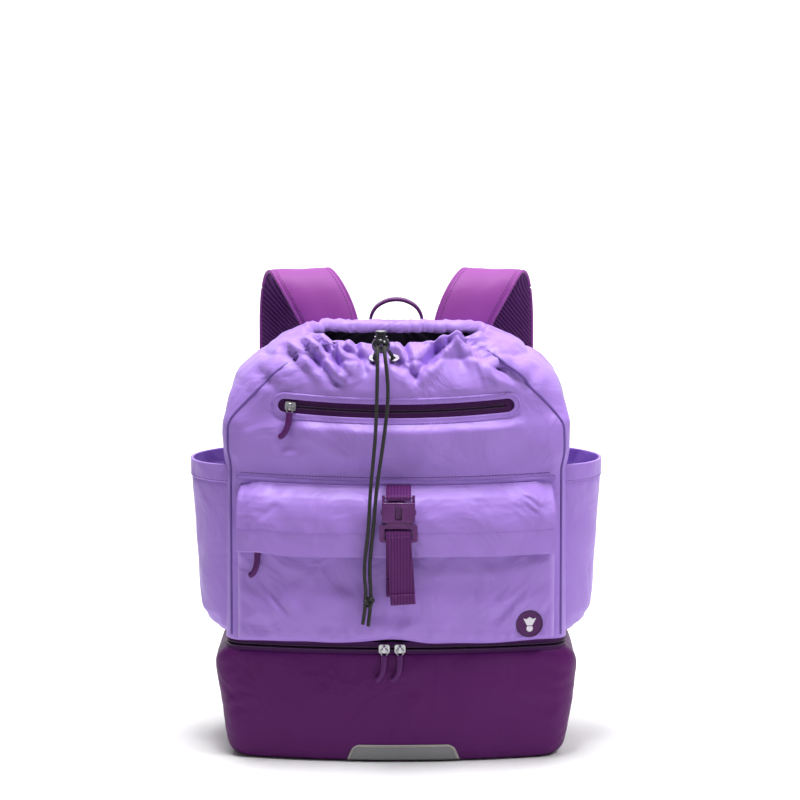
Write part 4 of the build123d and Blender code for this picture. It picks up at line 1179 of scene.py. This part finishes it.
def build_side(sign):
    """Side pocket, its elastic band and the band's stitches."""
    label, flip = sided(sign)
    heights = [128.6, 129.6, 131.5, 134, 137] + [140 + 3.2 * i for i in range(45)]
    heights += [283.6, 284.8, 286, 287.2, 288.6]
    hem = [286.4, 287.6, 289.5, 292, 295, 298, 300.5, 302.5, 304.0, 305.0]
    body = [[flip(side_point(c / 64, z)[0]) for c in range(65)] for z in heights]
    band = [[flip(side_point(c / 64, z, 0.5)[0]) for c in range(65)] for z in hem]
    place(slab(f"side_pocket_cloth_{label}", body, 1.7, [LAVENDER], -sign), "bag", "main_fabric",
          f"side_pocket_{label}")
    place(slab(f"side_pocket_band_{label}", band, 2.9, [LAVENDER], -sign), "bag", "hem_elastic",
          f"side_pocket_hem_{label}")
    line = [tuple(map(flip, side_point(lerp(0.02, 0.98, i / 89), 287.9, 0.7))) for i in range(90)]
    stitches(f"side_pocket_stitches_{label}", [line], THREAD, "bag", "hem_elastic", pitch=3.4, dash=2.3)


build_side(1)
build_side(-1)


# ------------------------------------------------------------------ webbing and straps

def catmull(points, per):
    """Smooth line through points."""
    points = [Vector(p) for p in points]
    out = []
    for i in range(len(points) - 1):
        p0 = points[max(i - 1, 0)]
        p1, p2 = points[i], points[i + 1]
        p3 = points[min(i + 2, len(points) - 1)]
        for k in range(per):
            t = k / per
            out.append(0.5 * ((2 * p1) + (p2 - p0) * t + (2 * p0 - 5 * p1 + 4 * p2 - p3) * t * t
                              + (3 * p1 - p0 - 3 * p2 + p3) * t ** 3))
    out.append(points[-1].copy())
    return out


def heading(line, i):
    """Unit direction of a line at its point i."""
    return (line[min(i + 1, len(line) - 1)] - line[max(i - 1, 0)]).normalized()


def strip_frame(line, i, across):
    """Width direction and normal of a strip at point i of its middle line."""
    t = heading(line, i)
    w = (across - t * across.dot(t)).normalized()
    return w, t.cross(w)


def sweep(name, path, across, thick, body, nodes=(), widths=None):
    """Webbing swept along a path, its width along the direction across."""
    section = web_section(thick)
    rows = []
    for i, p in enumerate(path):
        w, n = strip_frame(path, i, across)
        width = widths[i] if widths else 25.0
        rows.append([p + w * (a * width / 2) + n * b for a, b in section])
    return place(lofted(name, rows, [WEBBING], capped=True), body, "webbing", *nodes)


def web_section(thick):
    """Woven webbing: flat with a firm selvedge at both edges."""
    h = thick / 2
    edge = [(1.0, 0.2 * h), (0.985, 0.8 * h), (0.94, 1.08 * h), (0.86, 0.9 * h), (0.4, 0.92 * h)]
    up = [(-a, b) for a, b in edge] + [(0.0, 0.95 * h)] + edge[::-1]
    return up + [(a, -b) for a, b in up[::-1]]


def yz_path(points, x):
    return catmull([(x, y, z) for y, z in points], 8)


BY = -114.5                                          # middle of the buckle, front to back
flap_route = [(-89.6, 289.2), (-96.5, 287.0), (-103.4, 284.9), (-109.0, 283.6), (-112.0, 283.3),
              (-114.3, 283.7), (-116.3, 282.6), (-116.7, 280.8), (-116.2, 279.0)]
plug_route = [(BY + 3.6, 200), (BY + 3.6, 222), (BY + 3.6, 240), (BY + 3.3, 244.4), (BY + 1.6, 247.7),
              (BY - 1.6, 247.9), (BY - 3.6, 244.6), (BY - 3.9, 240)]
sweep("flap_webbing_strip", yz_path(flap_route, 2.5), X_WAY, WEB_THICK, "flap", ["flap_webbing"])
sweep("plug_webbing_strip", yz_path(plug_route, 2.5), X_WAY, WEB_THICK, "buckle_plug", ["plug_webbing"])
slant = math.radians(4)
tail_path = []
for i in range(34):
    drop = lerp(-2.0, 67.0, i / 33)
    y = BY - 3.9 - 0.5 * math.sin(drop / 9.0) * smooth(drop / 30)
    tail_path.append(Vector((2.5 + drop * math.tan(slant), y, 241 - drop * math.cos(slant))))
tail_way = Vector((math.cos(slant), 0, math.sin(slant)))
sweep("plug_webbing_tail", tail_path, tail_way, WEB_THICK, "buckle_plug")
fold_path = [p + Vector((0, -1.7, 0)) for p in tail_path[-6:]]
sweep("plug_webbing_fold", fold_path, tail_way, WEB_THICK, "buckle_plug")
line = [(tail_path[-5] + Vector((0, -2.5, 0)) + tail_way * s, Vector((0, -1, 0))) for s in (-11.5, -4, 4, 11.5)]
stitches("plug_webbing_stitches", [line], PLUM_THREAD, "buckle_plug", "webbing", pitch=2.4, dash=1.7, width=0.7)
anchor_path = [pocket_front(2.5, z, 0.8) for z in (178, 181, 184, 187, 190, 192, 195, 197)]
sweep("webbing_anchor_strip", anchor_path, X_WAY, WEB_THICK, "bag", ["webbing_anchor"])

STRAP_ROUTE = [
    # point of the middle line, width
    ((66, 90.3, 372), 60.0), ((66, 90.3, 402), 60.0), ((69, 91.6, 424), 60.0), ((76, 95.4, 446), 61.0),
    ((87, 102.5, 466), 62.0), ((98, 113.5, 480), 62.0), ((107, 127.0, 484.5), 62.0), ((113, 140.0, 478), 62.0),
    ((117, 149.5, 462), 62.0), ((119, 154.5, 440), 62.0), ((120, 156.5, 412), 61.0),
    ((120.5, 156.5, 372), 60.0), ((120.5, 154.0, 330), 57.0), ((121, 149.5, 290), 52.0),
    ((122, 143.0, 252), 44.0), ((123.5, 135.0, 222), 34.0), ((124.5, 129.5, 206), 28.0),
]


def crowned(p, w, n, s, half, base, rise, power):
    """Point at share s of a strap's width, standing base off its middle line and rise more in the middle."""
    return p + w * (s * half) + n * (base + rise * (1 - abs(s) ** power))


def spread(count):
    return [-1 + 2 * k / (count - 1) for k in range(count)]


def build_strap(sign):
    """Padded shoulder strap: cover, mesh lining, piped edges and stitches."""
    label, flip = sided(sign)
    line = catmull([p for p, _ in STRAP_ROUTE], 7)
    widths = catmull([(w, 0, 0) for _, w in STRAP_ROUTE], 7)
    cover, lining, edges, seams = [], [], ([], []), ([], [])
    for i, p in enumerate(line):
        w, n = strip_frame(line, i, X_WAY)
        half = widths[i].x / 2
        rim = half - 1.4
        swell = 0.5 * wave(p.x, p.y, p.z, 40, 2.9) + 0.3 * wave(p.x, p.y, p.z, 17, 7.7)
        cover.append([flip(crowned(p, w, n, s, rim, -1.0, -(4.3 + swell), 3.2)) for s in spread(19)]
                     + [flip(crowned(p, w, n, -s, rim, 1.2, 2.2, 4)) for s in spread(19)])
        lining.append([flip(crowned(p, w, n, s, half - 1.6, 1.6, 3.4, 3.0)) for s in spread(15)]
                      + [flip(crowned(p, w, n, -s, half - 2.4, 0.6, 2.0, 3.0)) for s in spread(15)])
        for k, side in enumerate((1, -1)):
            edges[k].append(flip(p + w * (side * rim) + n * 0.3))
            stitch = crowned(p, w, n, -side * ((half - 5.4) / rim), rim, -1.0, -(4.3 + swell), 3.2)
            seams[k].append((flip(stitch), flip(-n)))
    strap = lofted(f"strap_cover_{label}", cover, [STRAP], capped=True)
    place(strap, "bag", "strap_fabric", f"shoulder_strap_{label}")
    inside = lofted(f"strap_lining_{label}", lining, [MESH], capped=True)
    place(inside, "bag", "strap_mesh", f"strap_mesh_{label}")
    for k, edge in enumerate(edges):
        place(tube_piece(f"strap_piping_{label}_{k}", edge, 1.9, STRAP), "bag", "strap_fabric")
    stitches(f"strap_stitches_{label}", seams, PLUM_THREAD, "bag", "strap_fabric", pitch=3.8, dash=2.6,
             width=0.7)


build_strap(1)
build_strap(-1)

ADJUSTER = Vector((125.5, 122.0, 190.5))             # right strap adjuster, and the directions it stands in
adjust_z = Vector((-0.02, 0.42, 0.9)).normalized()
adjust_x = (X_WAY - adjust_z * X_WAY.dot(adjust_z)).normalized()
adjust_y = adjust_z.cross(adjust_x)


def at_adjuster(*points):
    return [ADJUSTER + adjust_x * x + adjust_y * y + adjust_z * z for x, y, z in points]


def strap_web(sign):
    """Loop, run and free tail of a strap's adjusting webbing."""
    label, flip = sided(sign)
    run = at_adjuster((0, -3.1, 3.0), (0, -3.1, -5), (0, -3.1, -13.0), (0.5, -3.9, -18.0))
    run += [(136.0, 93.5, 158.0), (139.0, 88.9, 148.0), (139.0, 88.6, 136.0)]
    tail = at_adjuster((0, 3.1, 3.0), (0, 3.1, -5), (0, 3.1, -13.0), (0, 3.9, -18.0))
    tail += [(127.0, 116.0, 150.0), (128.0, 115.0, 126.0), (128.5, 114.0, 104.0)]
    turn = at_adjuster((0, -3.1, 2.0), (0, -2.0, 0.2), (0, 0, -0.3), (0, 2.0, 0.2), (0, 3.1, 2.0))
    loop = at_adjuster((0, 3.0, 4.6), (0, 3.0, 10), (0, 3.0, 20))
    for name, points, per, nodes in (("webbing_run", run, 7, ["strap_webbings"]), ("webbing_tail", tail, 7, []),
                                     ("webbing_turn", turn, 7, []), ("loop", loop, 4, ["strap_loops"])):
        path = [flip(p) for p in catmull(points, per)]
        sweep(f"strap_{name}_{label}", path, X_WAY, WEB_THICK, "bag", nodes)
    fringe = [flip(p) + Vector((0, 1.7, 0)) for p in catmull(tail, 7)[-5:]]
    sweep(f"strap_webbing_hem_{label}", fringe, X_WAY, WEB_THICK, "bag")
    rows = []
    for depth in range(9):
        z = lerp(131, 152, depth / 8)
        left = 121 if z < 139 else lerp(121, 130, (z - 139) / 13)
        right = lerp(150, 153, (z - 131) / 8) if z < 139 else lerp(153, 148, (z - 139) / 13)
        rows.append([flip(Vector((lerp(left, right, c / 12), 87.4 + 0.25 * wave(c * 6, 0, z, 9, 1.0), z)))
                     for c in range(13)])
    place(slab(f"strap_anchor_{label}_cloth", rows, 2.2, [PLUM], -sign), "bag", "webbing", "strap_anchors")


strap_web(1)
strap_web(-1)


# ------------------------------------------------------------------ back panel

VOXEL = 0.005                                        # metres
PRESSURE = 4.0
SIM_FRAMES = 16


def inflate(obj, cap):
    """Swell a closed form with a cloth simulation, each point moving no further than cap, in metres."""
    remesh = obj.modifiers.new("remesh", "REMESH")
    remesh.mode = "VOXEL"
    remesh.voxel_size = VOXEL
    apply_modifiers(obj)
    rest = [v.co.copy() for v in obj.data.vertices]
    scene = bpy.context.scene
    cloth = obj.modifiers.new("cloth", "CLOTH")
    cloth.settings.use_pressure = True
    cloth.settings.uniform_pressure_force = PRESSURE
    cloth.settings.effector_weights.gravity = 0
    cloth.settings.quality = 4
    cloth.settings.mass = 0.2
    cloth.point_cache.frame_start = 1
    cloth.point_cache.frame_end = 20
    for frame_number in range(1, SIM_FRAMES + 1):
        scene.frame_set(frame_number)
    apply_modifiers(obj)
    scene.frame_set(1)
    for v, start in zip(obj.data.vertices, rest):
        move = v.co - start
        if move.length > cap:
            v.co = start + move * (cap / move.length)
    for p in obj.data.polygons:
        p.use_smooth = True
    return obj


def fill_outline(obj, x0, x1, z0, z1):
    """Draw a swollen pad out again to the outline it is sewn to, which remesh and swelling shrink."""
    points = [v.co.copy() for v in obj.data.vertices]
    low_x, high_x = min(p.x for p in points), max(p.x for p in points)
    low_z, high_z = min(p.z for p in points), max(p.z for p in points)
    for v in obj.data.vertices:
        v.co.x = lerp(x0, x1, (v.co.x - low_x) / (high_x - low_x)) * MM
        v.co.z = lerp(z0, z1, (v.co.z - low_z) / (high_z - low_z)) * MM


def rounded_outline(x0, x1, z0, z1, corner, radius, steps):
    """Round-cornered rectangle: four arcs of a radius, about centres set in by corner."""
    points = []
    for cx, cz, start in ((x1 - corner, z1 - corner, 0), (x0 + corner, z1 - corner, 90),
                          (x0 + corner, z0 + corner, 180), (x1 - corner, z0 + corner, 270)):
        for k in range(steps + 1):
            a = math.radians(start + 90 * k / steps)
            points.append((cx + radius * math.cos(a), cz + radius * math.sin(a)))
    return points


def rounded_pad(name, x0, x1, z0, z1, depth, corner, mat):
    """Closed pad with rounded corners, standing on the back panel."""
    outline = rounded_outline(x0, x1, z0, z1, corner, corner, 8)
    mx, mz = (x0 + x1) / 2, (z0 + z1) / 2
    profile = ((0.0, PAD_FOOT), (0.5, PAD_FOOT), (0.97, PAD_FOOT), (1.0, 86.0), (0.99, 86.0 + 0.45 * depth),
               (0.95, 85 + 0.85 * depth), (0.88, 85 + depth), (0.5, 85 + depth), (0.0, 85 + depth))
    return lofted(name, [[Vector((mx + (x - mx) * shrink, y, mz + (z - mz) * shrink)) for x, z in outline]
                         for shrink, y in profile], [mat])


def sewn(obj, lines, depth, width):
    """Press sewn channels into a pad and keep its back flat against the panel."""
    for v in obj.data.vertices:
        press = sum(bell((v.co.z - z * MM) / (width * MM)) for z in lines)
        if v.co.y > 0.0875:
            v.co.y -= min(press, 1.0) * depth * MM
        v.co.y = max(v.co.y, PAD_FOOT * MM)


def back_pad(name, node, box, depth, corner, cap, channels):
    """Padded mesh cushion on the back panel, swollen and then sewn down along its channels."""
    pad = inflate(rounded_pad(name, *box, depth, corner, MESH), cap)
    fill_outline(pad, *box)
    sewn(pad, channels, 3.6, 3.4)
    subdivide(pad)
    place(pad, "bag", "strap_mesh", node)


for label, x0, x1 in (("right", 13.0, 117.0), ("left", -117.0, -13.0)):
    box = (x0, x1, 169, 361)
    back_pad(f"back_pad_{label}", "back_pads", box, 6.2, 19, 0.0045, (217, 265, 313))
    outline = [Vector((x, 86.4, z)) for x, z in rounded_outline(*box, 19, 20.2, 9)]
    place(tube_piece(f"back_pad_piping_{label}", outline, 1.7, STRAP, closed=True), "bag", "piping")
back_pad("lumbar_pad_cloth", "lumbar_pad", (-117, 117, 135, 161), 7.6, 11, 0.004, ())

half_arch = [(27.9, 427.2), (27.2, 440.6), (21.4, 451.2), (10.7, 457.6)]
arch_points = [(-x, z) for x, z in half_arch] + [(0, 459.3)] + half_arch[::-1]
arch = catmull([(x, 97.0, z) for x, z in arch_points], 8)
arch_widths = [lerp(4.0, 19.0, smooth((p.z - 427) / 14)) for p in arch]
sweep("carry_handle_webbing", arch, Vector((0, 1, 0)), 3.0, "carry_handle", ["carry_handle"], arch_widths)
tab_route = [(86.2, 380), (86.2, 396), (86.4, 410), (90.5, 417.0), (96, 421.0), (98.2, 423.0)]
for label, x in (("left", -28.0), ("right", 28.0)):
    tab = yz_path(tab_route, x)
    sweep(f"handle_tab_{label}", tab, X_WAY, 2.3, "bag", ["handle_tabs"], [13.0] * len(tab))


# ------------------------------------------------------------------ zip pullers

def about_axis(degrees, y_shift, z):
    """Place of a straight front zip's slider."""
    turn = Matrix.Rotation(math.radians(degrees), 4, "Z")
    return (Matrix.Translation((0, AXIS_Y, 0)) @ turn @ Matrix.Translation((0, -AXIS_Y + y_shift, z)))


def on_sag(degrees):
    """Place of the sagging upper zip's slider."""
    low = SAG_Z - SAG_R                              # height of the zip in the middle
    arm = 1 / math.hypot(1 / R_FACE, 1 / SAG_R)
    tilt = math.atan(R_FACE / SAG_R)
    y, z = AXIS_Y - R_FACE + arm * math.cos(tilt), low + arm * math.sin(tilt)
    lean = Matrix.Rotation(tilt, 4, "X")
    turn = Matrix.Rotation(math.radians(degrees), 4, "Z")
    return Matrix.Translation((0, y, z)) @ lean @ turn @ lean.inverted() @ Matrix.Translation((0, -y, low - z))


def puller_piece(name, body, where):
    """Moulded J-shaped pull with its wire ring."""
    y = AXIS_Y - R_FACE - 3.7
    line = catmull([(0, y, -5.6), (0, y, -9), (-0.2, y - 0.3, -14), (-0.8, y - 0.7, -20), (-2.6, y - 0.9, -26),
                    (-5.6, y - 0.7, -30.4), (-9.4, y - 0.4, -32.2)], 7)
    rows = []
    for i, p in enumerate(line):
        t = heading(line, i)
        side = t.cross(Vector((0, -1, 0))).normalized()
        out = side.cross(t)
        end = min(i / 3.0, (len(line) - 1 - i) / 4.0, 1.0)
        taper = math.sqrt(max(1 - (1 - end) ** 2, 0.02))
        wide = (2.9 + 0.4 * bell((i - 6) / 8)) * taper
        deep = 1.65 * taper * (1 + 0.06 * math.sin(i * 1.6))
        rows.append([where @ (p + side * wide * c + out * deep * s) for c, s in circle(14)])
    place(lofted(name + "_grip", rows, [PULL], capped=True), body, "pull_rubber", body)
    loop = [where @ Vector((3.6 * s, y, -3.0 + 3.6 * c)) for c, s in circle(36)]
    place(tube_piece(name + "_ring", loop, 0.55, METAL, sides=8, closed=True), body, "slider_metal")


def turn_at(x, radius=R_FACE):
    return math.degrees(math.asin(x / radius))


puller_piece("pull_shoe_left", "shoe_puller_left", about_axis(turn_at(-12.0), 0, ZIP_Z))
puller_piece("pull_shoe_right", "shoe_puller_right", about_axis(turn_at(4.0), 0, ZIP_Z))
puller_piece("pull_upper", "upper_puller", on_sag(-10.0))
lower_place = about_axis(turn_at(-139.0, R_POCKET), R_FACE - R_POCKET - 0.4, 229.0)
puller_piece("pull_lower", "lower_puller", lower_place)


# ------------------------------------------------------------------ CAD nodes kept, with their finishes

for name, mat in {**CAD_MATERIALS, **HARD}.items():
    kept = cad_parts.get(name)
    if kept is not None:
        kept.data.materials.clear()
        kept.data.materials.append(mat)
for name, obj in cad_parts.items():
    if name in HARD:
        for polygon in obj.data.polygons:
            polygon.use_smooth = True
